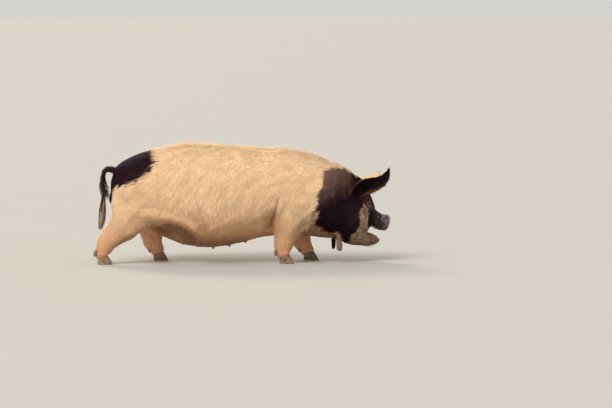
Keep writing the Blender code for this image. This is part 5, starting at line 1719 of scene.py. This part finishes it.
def claw(name, toe_x, y, heading):
    """One claw with a flat sole, a sloping front wall and a blunt toe."""
    angle = np.linspace(0, 2 * math.pi, CLAW_SIDES, endpoint=False)
    fore = np.cos(angle)
    blunt = np.sign(np.sin(angle)) * np.abs(np.sin(angle)) ** (1 + 0.35 * (fore > 0))
    rings = []
    for share, reach, spread, back in catmull_rom(CLAW_RINGS, 36):
        x = CLAW_LENGTH * (-0.5 - back + reach * fore / 2)
        z = np.full(CLAW_SIDES, share * CLAW_HEIGHT)
        rings.append(np.stack([x, spread * CLAW_WIDTH / 2 * blunt, z], 1))
    made = drawn_ball(name, rings)
    points = points_of(made)
    wall = smoothstep(points[:, 2], 0.002, 0.006)
    grown = 0.00035 * np.sin(points[:, 2] * 1150 + 40 * points[:, 0]) * wall
    points += normals_of(made) * (grown + 0.0004 * ripple(points, 0.014, 51) * wall)[:, None]
    turn = Matrix.Translation((toe_x, y, 0)) @ Matrix.Translation((-CLAW_LENGTH / 2, 0, 0))
    turn = turn @ Matrix.Rotation(heading, 4, "Z") @ Matrix.Translation((CLAW_LENGTH / 2, 0, 0))
    place_points(made, points)
    made.data.transform(turn)
    return smooth_shaded(made)


def spur(name, x, y):
    """One dewclaw: a small leaning cone of horn behind the pastern."""
    made = unit_ball(name, 28, 20)
    points = points_of(made)
    low = (1 - points[:, 2]) / 2
    points[:, :2] *= 1.08 - 0.52 * low[:, None] ** 2
    points = points * SPUR_RADII
    points += normals_of(made) * (0.0003 * np.sin(points[:, 2] * 1500))[:, None]
    place_points(made, points)
    made.data.transform(Matrix.Translation((x, y, SPUR_HEIGHT)) @ Matrix.Rotation(SPUR_LEAN, 4, "Y"))
    return smooth_shaded(made)


class SOW_OT_claws(bpy.types.Operator):
    """The claws and dewclaws of all four feet"""

    bl_idname = "sow.claws"
    bl_label = "Claws"
    bl_options = {"REGISTER", "UNDO"}

    def execute(self, context):
        for foot, (toe_x, y, back_x) in FEET.items():
            for word, side in (("inner", -1), ("outer", 1)):
                out, ending = side * math.copysign(1, y), f"{foot}_{word}"
                made = claw(f"claw_{ending}", toe_x, y + out * CLAW_SPREAD, out * CLAW_SPLAY)
                finish_piece(onto_frame(made), horn(), (f"hoof_{ending}",))
                made = spur(f"spur_{ending}", back_x, y + out * SPUR_SPREAD)
                finish_piece(onto_frame(made), horn(), (f"dewclaw_{ending}",))
        return {"FINISHED"}


# The coat


class Ground:
    """The finished skin as arrays, for the hair to grow on."""

    def __init__(self):
        skin = bpy.data.objects["skin"]
        skin.data.calc_loop_triangles()
        corners = np.empty(len(skin.data.loop_triangles) * 3, np.int32)
        skin.data.loop_triangles.foreach_get("vertices", corners)
        self.corners = corners.reshape(-1, 3)
        self.points, self.normals = points_of(skin), normals_of(skin)
        a, b, c = (self.points[self.corners[:, k]] for k in range(3))
        cross = np.cross(b - a, c - a)
        self.areas = np.linalg.norm(cross, axis=1) / 2
        self.facing = unit(cross)
        self.middles = straightened((a + b + c) / 3 - SHIFT)
        self.tree = BVHTree.FromPolygons(self.points.tolist(), self.corners.tolist())
        self.legs = leg_share(self.middles)
        self.ears = ear_places(self.middles)[0]
        self.tail = tail_share(self.middles)
        away = eye_distance(self.middles)
        eye = smoothstep(away, 0.0190, 0.0215) * (0.45 + 0.55 * smoothstep(away, 0.026, 0.040))
        wet = np.maximum(mouth_depth(self.middles, 0.002), nostril_depth(self.middles))
        bare = muzzle_front(self.middles)
        self.open = eye * (1 - wet) * (1 - bare) ** 2 * (bare < 0.9) * (self.middles[:, 2] > 0.040)

    def scatter(self, count, density, seed):
        """Roots spread evenly by area times density: places, normals and where they are when straightened."""
        draw = np.random.default_rng(seed)
        share = np.cumsum(self.areas * density)
        marks = (np.arange(count) + draw.random(count)) / count * share[-1]
        chosen = np.minimum(np.searchsorted(share, marks), len(share) - 1)
        u, v = draw.random(count), draw.random(count)
        over = u + v > 1
        u, v = np.where(over, 1 - u, u), np.where(over, 1 - v, v)
        weights = np.stack([1 - u - v, u, v], 1)[:, :, None]
        corners = self.corners[chosen]
        roots = (self.points[corners] * weights).sum(1)
        normals = unit((self.normals[corners] * weights).sum(1))
        return roots, normals, straightened(roots - SHIFT), draw

    def under(self, points):
        """The nearest places of the skin, and which way it faces there."""
        places, ways = np.empty_like(points), np.empty_like(points)
        find = self.tree.find_nearest
        for number, point in enumerate(points.tolist()):
            place, way, _, _ = find(point)
            places[number] = place
            ways[number] = way
        return places, ways


@functools.cache
def ground():
    return Ground()


def lie_of(q):
    """Which way the hair lies at each place of the straight animal."""
    total = np.zeros((len(q), 3)) + (-0.5e-4, 0, -0.5e-4)
    side = np.tanh(q[:, 1] / 0.02)
    for x, z, reach, along, out, high in LIE:
        weight = np.exp(-((q[:, 0] - x) ** 2 + (q[:, 2] - z) ** 2) / (2 * reach**2))
        way = np.column_stack([np.full(len(q), along), out * side, np.full(len(q), high)])
        total += weight[:, None] * unit(way)
    legs = leg_share(q)[:, None]
    return unit(unit(total) * (1 - legs) + legs * (0.0, 0.0, -1.0))


def combed(ways, normals, draw, q, wild, wave):
    """Ways laid flat on the skin, with waves and single hairs that stray a little."""
    flat = unit(ways - normals * (ways * normals).sum(1)[:, None])
    side = np.cross(flat, normals)
    angle = wave * ripple(q, 0.035, 61) + wave * 0.5 * ripple(q, 0.012, 62) + draw.normal(0, wild, len(q))
    return flat * np.cos(angle)[:, None] + side * np.sin(angle)[:, None]


def combed_lie(q, normals, draw, wild, wave):
    """The lie of the hair at each place of the straight animal, and the same combed on the posed skin."""
    straight = lie_of(q)
    return straight, combed(turn_ways(straight, q[:, 0]), normals, draw, q, wild, wave)


def laid(roots, normals, ways, length, rise):
    """Strands that follow the skin: a sunk root, a middle and a tip, with the way up at root and middle."""
    root = roots - normals * ROOT_SUNK
    half = roots + ways * (length * 0.5)[:, None]
    place, up = ground().under(half)
    middle = place + up * (rise * 0.75)[:, None]
    onward = unit(ways - up * (ways * up).sum(1)[:, None])
    place, tip_up = ground().under(middle + onward * (length * 0.5)[:, None])
    return root, middle, place + tip_up * rise[:, None], normals, up


def standing(roots, normals, ways, length, angle, droop):
    """Strands that stand off the skin at an angle and droop towards their tips."""
    root = roots - normals * ROOT_SUNK
    first = ways * np.cos(angle)[:, None] + normals * np.sin(angle)[:, None]
    middle = roots + first * (length * 0.5)[:, None]
    later = unit(first - np.outer(droop, (0, 0, 1)))
    tip = middle + later * (length * 0.5)[:, None]
    return root, middle, tip, normals, unit(normals - first * (first * normals).sum(1)[:, None])


# A tuft's points are three round its root, three round its middle and its tip.
TUFT_FACES = np.array(
    (
        *((0, 3, 5), (0, 5, 2), (2, 5, 4), (2, 4, 1), (0, 1, 4)),
        *((0, 4, 3), (3, 6, 5), (5, 6, 4), (3, 4, 6), (0, 2, 1)),
    )
)
# The corners of a tuft's patch in the bake map, in the order of its points.
PATCH_CORNERS = ((-0.5, 0), (0, 0), (0.5, 0), (-0.4, 0.5), (0, 0.5), (0.4, 0.5), (0, 1))
SOFT_SIDE = 180


def tuft_mesh(name, points, faces):
    mesh = bpy.data.meshes.new(name)
    mesh.vertices.add(len(points))
    mesh.vertices.foreach_set("co", points.astype(np.float32).ravel())
    mesh.loops.add(faces.size)
    mesh.loops.foreach_set("vertex_index", faces.astype(np.int32).ravel())
    mesh.polygons.add(len(faces))
    mesh.polygons.foreach_set("loop_start", np.arange(0, faces.size, 3, dtype=np.int32))
    mesh.update(calc_edges=True)
    return mesh


def tuft_piece(name, strands, width, marks, chart):
    """One piece of solid tufts: seven points and ten faces each, with their marks and bake patches."""
    root, middle, tip, up_root, up_middle = strands
    count = len(root)
    width = np.broadcast_to(width, count)[:, None]
    way = unit(middle - root)
    side = unit(np.cross(way, up_root)) * width / 2
    rise = unit(up_root) * width * 0.38
    side_middle = unit(np.cross(unit(tip - root), up_middle)) * width * 0.42
    rise_middle = unit(up_middle) * width * 0.34
    low_ring = [root - side, root + rise, root + side]
    high_ring = [middle - side_middle, middle + rise_middle, middle + side_middle]
    points = np.stack([*low_ring, *high_ring, tip], 1).reshape(-1, 3)
    faces = (TUFT_FACES[None] + 7 * np.arange(count)[:, None, None]).reshape(-1, 3)
    mesh = tuft_mesh(name, points, faces)
    obj = bpy.data.objects.new(name, mesh)
    bpy.context.scene.collection.objects.link(obj)
    low, high = chart.min(0), chart.max(0)
    centre = 0.004 + 0.990 * (chart - low) / np.maximum(high - low, 1e-6)
    places = (centre[:, None, :] + BAKE_PATCH * np.array(PATCH_CORNERS)[None]).reshape(-1, 2)
    layer = mesh.uv_layers.new(name="OFBake")
    layer.data.foreach_set("uv", places[faces.ravel()].astype(np.float32).ravel())
    for key, values in marks.items():
        set_attribute(obj, key, np.repeat(np.broadcast_to(values, count), 7))
    smooth_shaded(obj)
    ring_ways = [up_root - side * SOFT_SIDE, up_root, up_root + side * SOFT_SIDE]
    soft = unit(np.stack([*ring_ways, *[up_middle] * 4], 1)).reshape(-1, 3)
    mesh.normals_split_custom_set_from_vertices(soft.tolist())
    finish_piece(obj, hair())
    return obj


def black_chance(q, found, across):
    """How likely a tuft is black. It overhangs the patches' edges, most of all on the rump."""
    behind, skin = q[:, 0] < 0, found["black"]
    rag = rag_of(q) + np.where(behind, 0.0120, 0.0045) * ripple(across, 0.009, 75)
    edge = smoothstep(black_depth(q) + rag, -0.009, 0.008)
    mixed = np.minimum(np.maximum(edge, skin * 0.5), 0.5 + skin * 0.5)
    mixed = np.where(behind, edge, mixed)
    mixed = np.where(skin > 0.97, np.maximum(mixed, 0.97), mixed)
    return mixed * (behind | (np.maximum(skin, found["tan"]) > 0.02))


def roan_share(q):
    """1 in the roan tuft before the right shoulder, 0 elsewhere."""
    x, y, z = q.T
    away = np.hypot(x - ROAN[0], (z - ROAN[1]) * 0.8) / ROAN[2]
    return (1 - smoothstep(away, 0.6, 1.1)) * (y < 0)


def hair_marks(strands, draw, ways):
    """Each tuft's colours, with the painted shade and light in them, read where its middle lies, so that hair
    overhangs the patches' edges.
    """
    q = straightened(strands[1] - SHIFT)
    found, count, height = markings(q), len(q), q[:, 2]
    across = q - 0.85 * ways * (q * ways).sum(1)[:, None]
    ragged = blaze_depth(q) + draw.normal(0, 0.0045, count)
    tan = (found["tan"] > 0.02) & ((ragged > 0) | (wattle_share(q) > 0.5))
    black = (draw.random(count) < black_chance(q, found, across)) & (~tan | (draw.random(count) > 0.86))
    bright = band(height, 0.085, 0.115, 0.225, 0.255) * (q[:, 0] < 0.665)
    above = smoothstep(height, 0.235, 0.262)
    black |= tan & (draw.random(count) < 0.22 - 0.14 * bright + 0.34 * above)
    roan = draw.random(count) < 0.8 * roan_share(q)
    black &= ~roan
    brown = (draw.random(count) < np.maximum(0.75 * throat_mottle(q), 0.35 * roan)) & ~tan & ~black
    grey = np.maximum(tan * found["tan"], roan * 0.60)
    slanted = np.column_stack([q @ (0.6, 0.0, 0.8), q @ (0.2, 0.0, -0.15), 0.3 * q[:, 1]])
    stripes = np.clip(ripple(slanted, 0.016, 74), -1, 1)
    chin = smoothstep(q[:, 0], 0.600, 0.640) * (1 - bright)
    legs = leg_share(q)
    tone = ripple(across, 0.014, 71) * 0.30 + ripple(across, 0.050, 72) * 0.25
    # Painted shade darkens the hair.
    tone += draw.normal(0, 0.34, count) - 2.6 * found["shade"] + roan * 1.2
    tone += tan * (1.3 * stripes + 0.5 * bright + 0.9 * chin - 1.4 - 0.6 * above)
    # Painted light: the hair on the legs' inner sides is made much lighter.
    tone += 3.0 * legs * (np.abs(q[:, 1]) < 0.13)
    # Lower on the body and in the painted shade the hair turns warmer and darker: partly the hide showing
    # through, partly painted shade.
    under = smoothstep(0.33 - height, 0, 0.26) * (q[:, 0] < 0.5) * (1 - 0.5 * legs)
    warm = 0.05 + 0.75 * under + 0.3 * found["blush"] + 0.9 * found["shade"] + 0.10 * ripple(q, 0.09, 73)
    return {
        "black": (black | brown).astype(float),
        "grey": grey * (1 - 0.5 * chin) * (1 - 0.55 * bright * tan),
        "warm": np.maximum(np.clip(warm, 0, 1), 0.9 * chin * tan),
        "rust": found["rust"],
        "plum": np.maximum(found["plum"], brown),
        "tone": np.clip(tone, -3.0, 3.6),
        "pale": 0.0,
    }


def plain_marks(**given):
    """The marks of hair that has one colour only."""
    return {**dict.fromkeys(("black", "grey", "warm", "rust", "plum", "tone", "pale"), 0.0), **given}


def tufts_wanted(count):
    return max(40, round(count * (1)))


def body_lengths(q, facing):
    x, _, z = q.T
    sizes = settings().coat
    full = sizes.body_length
    belly = smoothstep(-facing[:, 2], 0.55, 0.85) * smoothstep(0.24 - z, 0, 0.06)
    length = full * (1 - 0.42 * belly)
    length *= 1 - 0.12 * smoothstep(x, 0.40, 0.52)
    legs = leg_share(q)
    low = sizes.leg_length + (full * 0.8 - sizes.leg_length) * smoothstep(z, 0.08, 0.26)
    return (length * (1 - legs) + legs * low) * (1 - 0.80 * np.maximum(dangling(q), wattle_share(q)))


class FlatCoat:
    """A part of the coat that lies flat along the trunk."""

    comb = 0.10, 0.10
    stray = 0.0004
    uneven = 0.7, 1.3

    def length(self, q, normals):
        return body_lengths(q, normals)

    def lift(self, q, length):
        return 0.0015 + 0.0003 * ripple(q, 0.018, 81)

    def width(self, length):
        return settings().coat.width

    def chart(self, q):
        return q[:, 0], np.arctan2(q[:, 1], q[:, 2] - 0.33)

    def grow(self, name, count, density, seed):
        roots, normals, q, draw = ground().scatter(tufts_wanted(count), density, seed)
        straight, ways = combed_lie(q, normals, draw, *self.comb)
        length = self.length(q, normals) * draw.uniform(0.75, 1.2, len(q))
        rise = self.lift(q, length) + draw.exponential(self.stray, len(q))
        strands = laid(roots, normals, ways, length, rise)
        width = self.width(length) * draw.uniform(*self.uneven, len(q))
        marks = hair_marks(strands, draw, straight)
        tuft_piece(name, strands, width, marks, np.column_stack(self.chart(q)))


class LegCoat(FlatCoat):
    """The shorter hair down the legs, shortest over the claws."""

    comb = 0.14, 0.12
    stray = 0.0006

    def length(self, q, normals):
        return body_lengths(q, normals) * (0.55 + 0.45 * smoothstep(q[:, 2], 0.045, 0.085))

    def lift(self, q, length):
        return 0.0012 + 0.0010 * smoothstep(q[:, 2], 0.08, 0.2)

    def width(self, length):
        return settings().coat.width * 0.66

    def chart(self, q):
        _, owner, angle = leg_places(q)
        return q[:, 2], owner * 7.0 + angle


class FaceCoat(FlatCoat):
    """The hair of the head, shortest on the face."""

    comb = 0.14, 0.12
    stray = 0.0003
    uneven = 0.8, 1.2

    def length(self, q, normals):
        return face_lengths(q)

    def lift(self, q, length):
        return length * 0.10

    def width(self, length):
        return np.clip(length * 0.085, 0.0008, 0.0020)

    def chart(self, q):
        return q[:, 0], np.arctan2(q[:, 1], q[:, 2] - 0.24)


def belly_thinning():
    land = ground()
    bare = smoothstep(-land.facing[:, 2], 0.6, 0.9) * smoothstep(0.24 - land.middles[:, 2], 0, 0.05)
    return (1 - 0.55 * bare) * (1 - land.tail) * land.open * (1 - land.legs)


class SOW_OT_body_coat(bpy.types.Operator):
    """The flat coat of the rump, flanks, shoulders and neck"""

    bl_idname = "sow.body_coat"
    bl_label = "Body coat"
    bl_options = {"REGISTER", "UNDO"}

    def execute(self, context):
        counts, land = settings().coat, ground()
        x, right, spread = land.middles[:, 0], land.middles[:, 1] < 0, belly_thinning()
        rump, flank, shoulder, neck, _ = (np.searchsorted(PARTINGS, x, "right") == k for k in range(5))
        pieces = (
            ("coat_rump", counts.rump, rump, 101),
            ("coat_flank_right", counts.flank, flank * right, 102),
            ("coat_flank_left", counts.flank, flank * ~right, 103),
            ("coat_shoulder_right", counts.shoulder, shoulder * right, 104),
            ("coat_shoulder_left", counts.shoulder, shoulder * ~right, 105),
            ("coat_neck", counts.neck, neck * (1 - land.ears), 106),
        )
        for name, count, here, seed in pieces:
            FlatCoat().grow(name, count, spread * here, seed)
        return {"FINISHED"}


class SOW_OT_leg_coat(bpy.types.Operator):
    """The short hair that lies down the legs to the claws"""

    bl_idname = "sow.leg_coat"
    bl_label = "Leg coat"
    bl_options = {"REGISTER", "UNDO"}

    def execute(self, context):
        land = ground()
        fore, spread = land.middles[:, 0] > -0.1, land.legs * land.open
        for name, here, seed in (("coat_legs_fore", fore, 111), ("coat_legs_hind", ~fore, 112)):
            LegCoat().grow(name, settings().coat.leg, spread * here, seed)
        return {"FINISHED"}


def face_lengths(q):
    full = settings().coat.face_length
    length = np.interp(q[:, 0], *zip(*FACE_LENGTHS)) * full
    jaw = smoothstep(q[:, 0], 0.63, 0.66) * smoothstep(0.16 - q[:, 2], 0, 0.02)
    length = length * (1 - jaw) + jaw * full * 1.2
    eye = smoothstep(eye_distance(q), 0.020, 0.060)
    return length * (0.45 + 0.55 * eye)


class SOW_OT_head_coat(bpy.types.Operator):
    """The hair of the cheeks, brow, jaw and ears, shortest on the face"""

    bl_idname = "sow.head_coat"
    bl_label = "Head coat"
    bl_options = {"REGISTER", "UNDO"}

    def execute(self, context):
        counts, land = settings().coat, ground()
        head = (land.middles[:, 0] >= PARTINGS[3]) * land.open * (1 - land.ears)
        face = 1 + 1.6 * smoothstep(land.middles[:, 0], 0.58, 0.66)
        FaceCoat().grow("coat_head", counts.head, head * face, 121)
        self.ears()
        return {"FINISHED"}

    def ears(self):
        land = ground()
        density = smoothstep(land.ears, 0.2, 0.6)
        roots, normals, q, draw = land.scatter(2 * tufts_wanted(settings().coat.ear), density, 122)
        _, up, over, sheet = ear_places(q)
        rows = np.rint(up * (EAR_ROWS - 1)).astype(int)
        along = np.where((q[:, 1] > 0)[:, None], ear_sheets(1)[1][rows], ear_sheets(-1)[1][rows])
        ways = combed(turn_ways(along, q[:, 0]), normals, draw, q, 0.20, 0.15)
        edge = smoothstep(np.abs(over - 0.5), 0.38, 0.5)
        length = (EAR_HAIR + EAR_EDGE_HAIR * edge) * draw.uniform(0.7, 1.25, len(q)) * (1 - 0.35 * up)
        angle = 0.10 + 0.12 * edge + draw.exponential(0.05, len(q))
        strands = standing(roots, normals, ways, length, angle, np.full(len(q), 0.05))
        width = EAR_WIDTH * draw.uniform(0.8, 1.2, len(q))
        chart = np.column_stack([up, over + 1.2 * sheet + 2.6 * (q[:, 1] > 0)])
        tuft_piece("coat_ears", strands, width, hair_marks(strands, draw, along), chart)


def on_back(x, y):
    """Places on the skin's top above each x and y of the straight animal, with the normals there."""
    flat = turned(np.column_stack([x, y, np.zeros(len(x))])) + SHIFT
    places, ways = np.empty((len(x), 3)), np.empty((len(x), 3))
    for number, (px, py, _) in enumerate(flat):
        hit, way, _, _ = ground().tree.ray_cast(Vector((px, py, 1.0)), Vector((0, 0, -1)))
        if hit is None:
            raise RuntimeError("the back is missing under the crest")
        places[number] = hit
        ways[number] = way
    return places, ways


class SOW_OT_crest(bpy.types.Operator):
    """The long bristles along the back, which stand up behind the shoulders"""

    bl_idname = "sow.crest"
    bl_label = "Crest"
    bl_options = {"REGISTER", "UNDO"}

    def execute(self, context):
        draw = np.random.default_rng(131)
        count = tufts_wanted(settings().coat.crest)
        x = draw.uniform(CREST_FROM, CREST_TO, count)
        across = np.clip(draw.normal(0, 0.5, count), -1.3, 1.3)
        narrow = 1 - 0.5 * smoothstep(x, 0.50, 0.60)
        roots, normals = on_back(x, across * CREST_SPREAD * narrow)
        q = straightened(roots - SHIFT)
        straight, ways = combed_lie(q, normals, draw, 0.16, 0.25)
        stand = np.interp(q[:, 0], *zip(*CREST_STAND))
        rise = stand * draw.uniform(0.25, 1.35, count) * (1 - 0.4 * np.abs(across))
        length = settings().coat.crest_length * draw.uniform(0.5, 1.1, count)
        length *= 1 - 0.65 * smoothstep(q[:, 0], 0.38, 0.50)
        strands = laid(roots, normals, ways, length, rise + 0.002)
        width = CREST_WIDTH * draw.uniform(0.7, 1.2, count)
        chart = np.column_stack([q[:, 0], across])
        tuft_piece("crest", strands, width, hair_marks(strands, draw, straight), chart)
        self.fuzz()
        return {"FINISHED"}

    def fuzz(self):
        """Single fine hairs that stand along the back, longest behind its middle."""
        draw = np.random.default_rng(132)
        count = tufts_wanted(settings().coat.fuzz)
        x = draw.uniform(CREST_FROM, FUZZ_END, count)
        roots, normals = on_back(x, np.clip(draw.normal(0, 0.035, count), -0.09, 0.09))
        q = straightened(roots - SHIFT)
        straight, ways = combed_lie(q, normals, draw, 0.35, 0.25)
        tall = bell(q[:, 0] - FUZZ_PEAK, FUZZ_REACH)
        length = (FUZZ_HAIR + FUZZ_TALL * tall) * draw.uniform(0.5, 1.2, count)
        angle = 0.45 + 0.55 * tall * draw.random(count) + draw.uniform(-0.2, 0.2, count)
        strands = standing(roots, normals, ways, length, angle, np.full(count, 0.10))
        tuft_piece("crest_fuzz", strands, FUZZ_WIDTH, hair_marks(strands, draw, straight), q[:, :2])


def along_tail(share):
    """Places, radii and ways along the tail's core at shares of its length."""
    core = tail_rows()
    steps = np.linspace(0, 1, len(core))
    place = np.column_stack([np.interp(share, steps, core[:, k]) for k in range(4)])
    way = unit(np.gradient(core[:, :3], axis=0))
    way = unit(np.column_stack([np.interp(share, steps, way[:, k]) for k in range(3)]))
    return place[:, :3] + SHIFT, place[:, 3], way


class SOW_OT_tail_hair(bpy.types.Operator):
    """The dark bristles of the tail and the pale switch at its end"""

    bl_idname = "sow.tail_hair"
    bl_label = "Tail hair"
    bl_options = {"REGISTER", "UNDO"}

    def strands(self, share, turn, length, fan):
        place, radius, way = along_tail(share)
        side = unit(np.cross(way, (0, 1, 0)))
        other = np.cross(way, side)
        out = side * np.cos(turn)[:, None] + other * np.sin(turn)[:, None]
        root = place + out * (radius * 0.8)[:, None]
        first = unit(way + out * fan[:, None])
        middle = place + out * radius[:, None] + first * (length * 0.5)[:, None]
        tip = middle + unit(first + way * 0.5) * (length * 0.5)[:, None]
        return root, middle, tip, out, out

    def execute(self, context):
        draw = np.random.default_rng(141)
        count = tufts_wanted(settings().coat.tail)
        share = 0.10 + 0.62 * (np.arange(count) + draw.random(count)) / count
        turn = draw.uniform(0, 2 * math.pi, count)
        behind = 0.5 + 0.5 * np.cos(turn)
        hanging = smoothstep(share, 0.36, 0.52)
        length = (TAIL_HAIR + TAIL_HANGING_HAIR * hanging) * draw.uniform(0.7, 1.2, count)
        fan = 0.20 + hanging * (0.25 + 0.55 * behind) * draw.uniform(0.4, 1.1, count)
        strands = self.strands(share, turn, length, fan)
        marks = plain_marks(black=1.0, plum=0.15, tone=np.clip(draw.normal(0, 0.5, count), -1, 1))
        width = TAIL_WIDTH * draw.uniform(0.7, 1.2, count)
        tuft_piece("tail_bristles", strands, width, marks, np.column_stack([share, turn]))
        self.switch()
        return {"FINISHED"}

    def switch(self):
        draw = np.random.default_rng(142)
        count = tufts_wanted(settings().coat.tassel)
        share = np.sort(draw.uniform(0.66, 0.98, count))
        turn = draw.uniform(0, 2 * math.pi, count)
        place, radius, _ = along_tail(share)
        out = np.column_stack([np.cos(turn), np.sin(turn), np.zeros(count)])
        end = np.array(TASSEL_END) + SHIFT
        tip = end + out * (0.0120 * draw.random(count))[:, None]
        tip[:, 2] += draw.exponential(0.018, count) * (1.3 - share)
        tip[:, 2] = np.minimum(tip[:, 2], place[:, 2] - 0.035)
        spread = (0.0060 + 0.0110 * draw.random(count)) * (1.15 - 0.4 * share)
        middle = place * 0.5 + tip * 0.5 + out * spread[:, None]
        strands = (place + out * (radius * 0.5)[:, None], middle, tip, out, out)
        pale = (draw.random(count) < smoothstep(share, 0.66, 0.78)).astype(float)
        tone = np.clip(draw.normal(0, 0.6, count), -1.3, 1.3)
        marks = plain_marks(black=1 - pale, pale=pale, tone=tone)
        width = SWITCH_WIDTH * draw.uniform(0.7, 1.3, count)
        made = tuft_piece("switch_locks", strands, width, marks, np.column_stack([share, turn]))
        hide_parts("tail_switch")


class SOW_OT_whiskers(bpy.types.Operator):
    """Whiskers on the lips and chin, and the lashes of the upper lids"""

    bl_idname = "sow.whiskers"
    bl_label = "Whiskers and lashes"
    bl_options = {"REGISTER", "UNDO"}

    def execute(self, context):
        land = ground()
        density = (spot(land.middles, *MUZZLE_WHISKERS) + spot(land.middles, *CHIN_WHISKERS)) * land.open
        roots, normals, q, draw = land.scatter(tufts_wanted(WHISKERS), density, 151)
        straight, ways = combed_lie(q, normals, draw, 0.3, 0.1)
        length, angle = draw.uniform(0.010, 0.026, len(q)), draw.uniform(0.35, 0.95, len(q))
        strands = standing(roots, normals, ways, length, angle, np.full(len(q), 0.25))
        marks = hair_marks(strands, draw, straight)
        marks["black"] = (draw.random(len(q)) < 0.3).astype(float)
        marks["grey"] = 1.0
        chart = np.column_stack([q[:, 0], np.arctan2(q[:, 1], q[:, 2] - 0.15)])
        tuft_piece("whiskers", strands, WHISKER_WIDTH, marks, chart)
        self.lashes(draw)
        return {"FINISHED"}

    def lashes(self, draw):
        kept = []
        for side in (-1, 1):
            centre, look, ahead, up = eye_frame(side)
            turn = np.linspace(0.35, math.pi - 0.35, LASHES) + draw.normal(0, 0.02, LASHES)
            fore, high = LID_HALF * np.cos(turn), LID_ABOVE * np.sin(turn) ** LID_ROUND
            out = np.outer(np.sin(fore), ahead) + np.outer(np.sin(high), up) + np.outer(np.cos(fore), look)
            out = unit(out)
            root = centre + out * (EYE_RADIUS + LID_THICK * 1.5)
            away = unit(out + 0.3 * up + np.outer(np.cos(turn), ahead) * 0.35)
            length = draw.uniform(0.007, 0.012, LASHES)
            middle = root + away * (length * 0.5)[:, None]
            tip = middle + unit(away - (0, 0, 0.25)) * (length * 0.5)[:, None]
            kept.append([turned(part) + SHIFT for part in (root, middle, tip)] + [out, out, turn + 4 * side])
        parts = [np.concatenate(columns) for columns in zip(*kept)]
        chart = np.column_stack([parts[5], np.linspace(0, 1, len(parts[5]))])
        tuft_piece("lashes", parts[:5], WHISKER_WIDTH, plain_marks(black=1.0, plum=0.1), chart)


# The stage


class SOW_OT_stage(bpy.types.Operator):
    """The floor, the soft lights and the camera"""

    bl_idname = "sow.stage"
    bl_label = "Stage"
    bl_options = {"REGISTER", "UNDO"}

    def light(self, name, place, spread, strength, colour):
        """A wide soft light that shines from a place towards the sow, as evenly on the floor as on her."""
        nothing_selected()
        bpy.ops.object.light_add(type="SUN", location=place)
        lamp = bpy.context.active_object
        lamp.name = name
        lamp.data.angle = math.radians(spread)
        lamp.data.energy = strength
        lamp.data.color = colour
        lamp.rotation_euler = (-Vector(place)).to_track_quat("-Z", "Y").to_euler()

    def execute(self, context):
        stage, scene = settings().stage, bpy.context.scene
        nothing_selected()
        bpy.ops.mesh.primitive_plane_add(size=FLOOR_SIZE)
        floor = bpy.context.active_object
        floor.name = "studio_floor"
        floor.data.materials.append(studio_floor())
        floor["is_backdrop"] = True
        world = bpy.data.worlds.new("studio")
        world.use_nodes = True
        sky = world.node_tree.nodes["Background"]
        sky.inputs["Color"].default_value = (1.0, 0.98, 0.95, 1.0)
        sky.inputs["Strength"].default_value = stage.sky
        scene.world = world
        for name, place, spread, colour in LIGHTS:
            self.light(name, place, spread, getattr(stage, name), colour)
        aim = Vector(CAMERA_AIM) + Vector(SHIFT)
        azimuth, elevation = math.radians(CAMERA_AZIMUTH), math.radians(CAMERA_ELEVATION)
        flat = math.cos(elevation)
        back = Vector((math.sin(azimuth) * flat, -math.cos(azimuth) * flat, math.sin(elevation)))
        nothing_selected()
        bpy.ops.object.camera_add(location=aim + back * stage.distance)
        camera = bpy.context.active_object
        camera.name = "camera"
        camera.rotation_euler = (-back).to_track_quat("-Z", "Y").to_euler()
        camera.data.lens = stage.lens
        camera.data.sensor_width = 36.0
        camera.data.clip_end = 500.0
        scene.camera = camera
        scene.view_settings.view_transform = "Standard"
        return {"FINISHED"}


class SOW_PT_panel(bpy.types.Panel):
    """Everything that makes the sow, in the sidebar"""

    bl_label = "Museum sow"
    bl_idname = "SOW_PT_panel"
    bl_space_type = "VIEW_3D"
    bl_region_type = "UI"
    bl_category = "Sow"

    def draw(self, context):
        held = context.scene.sow
        for title in type(held).__annotations__:
            group, box = getattr(held, title), self.layout.box()
            box.label(text=title.capitalize())
            for key in type(group).__annotations__:
                box.prop(group, key)
        for operator in OPERATORS:
            self.layout.operator(operator.bl_idname)


# In the order in which the sow is made.
OPERATORS = (
    SOW_OT_skin,
    SOW_OT_eyes,
    SOW_OT_tongue,
    SOW_OT_claws,
    SOW_OT_body_coat,
    SOW_OT_leg_coat,
    SOW_OT_head_coat,
    SOW_OT_crest,
    SOW_OT_tail_hair,
    SOW_OT_whiskers,
    SOW_OT_stage,
)
CLASSES = (SowBody, SowCoat, SowColours, SowStage, SowSettings, *OPERATORS, SOW_PT_panel)


def register():
    for kind in CLASSES:
        bpy.utils.register_class(kind)
    bpy.types.Scene.sow = PointerProperty(type=SowSettings)


def unregister():
    del bpy.types.Scene.sow
    for kind in reversed(CLASSES):
        bpy.utils.unregister_class(kind)


def write_sizes():
    boxes = {"cad_box": CAD_BOX, "scene_box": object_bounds()}
    plain = {name: [list(low), list(high)] for name, (low, high) in boxes.items()}


def main():
    register()
    for operator in OPERATORS:
        group, name = operator.bl_idname.split(".")
        getattr(getattr(bpy.ops, group), name)()
    write_sizes()


if __name__ == "__main__":
    main()
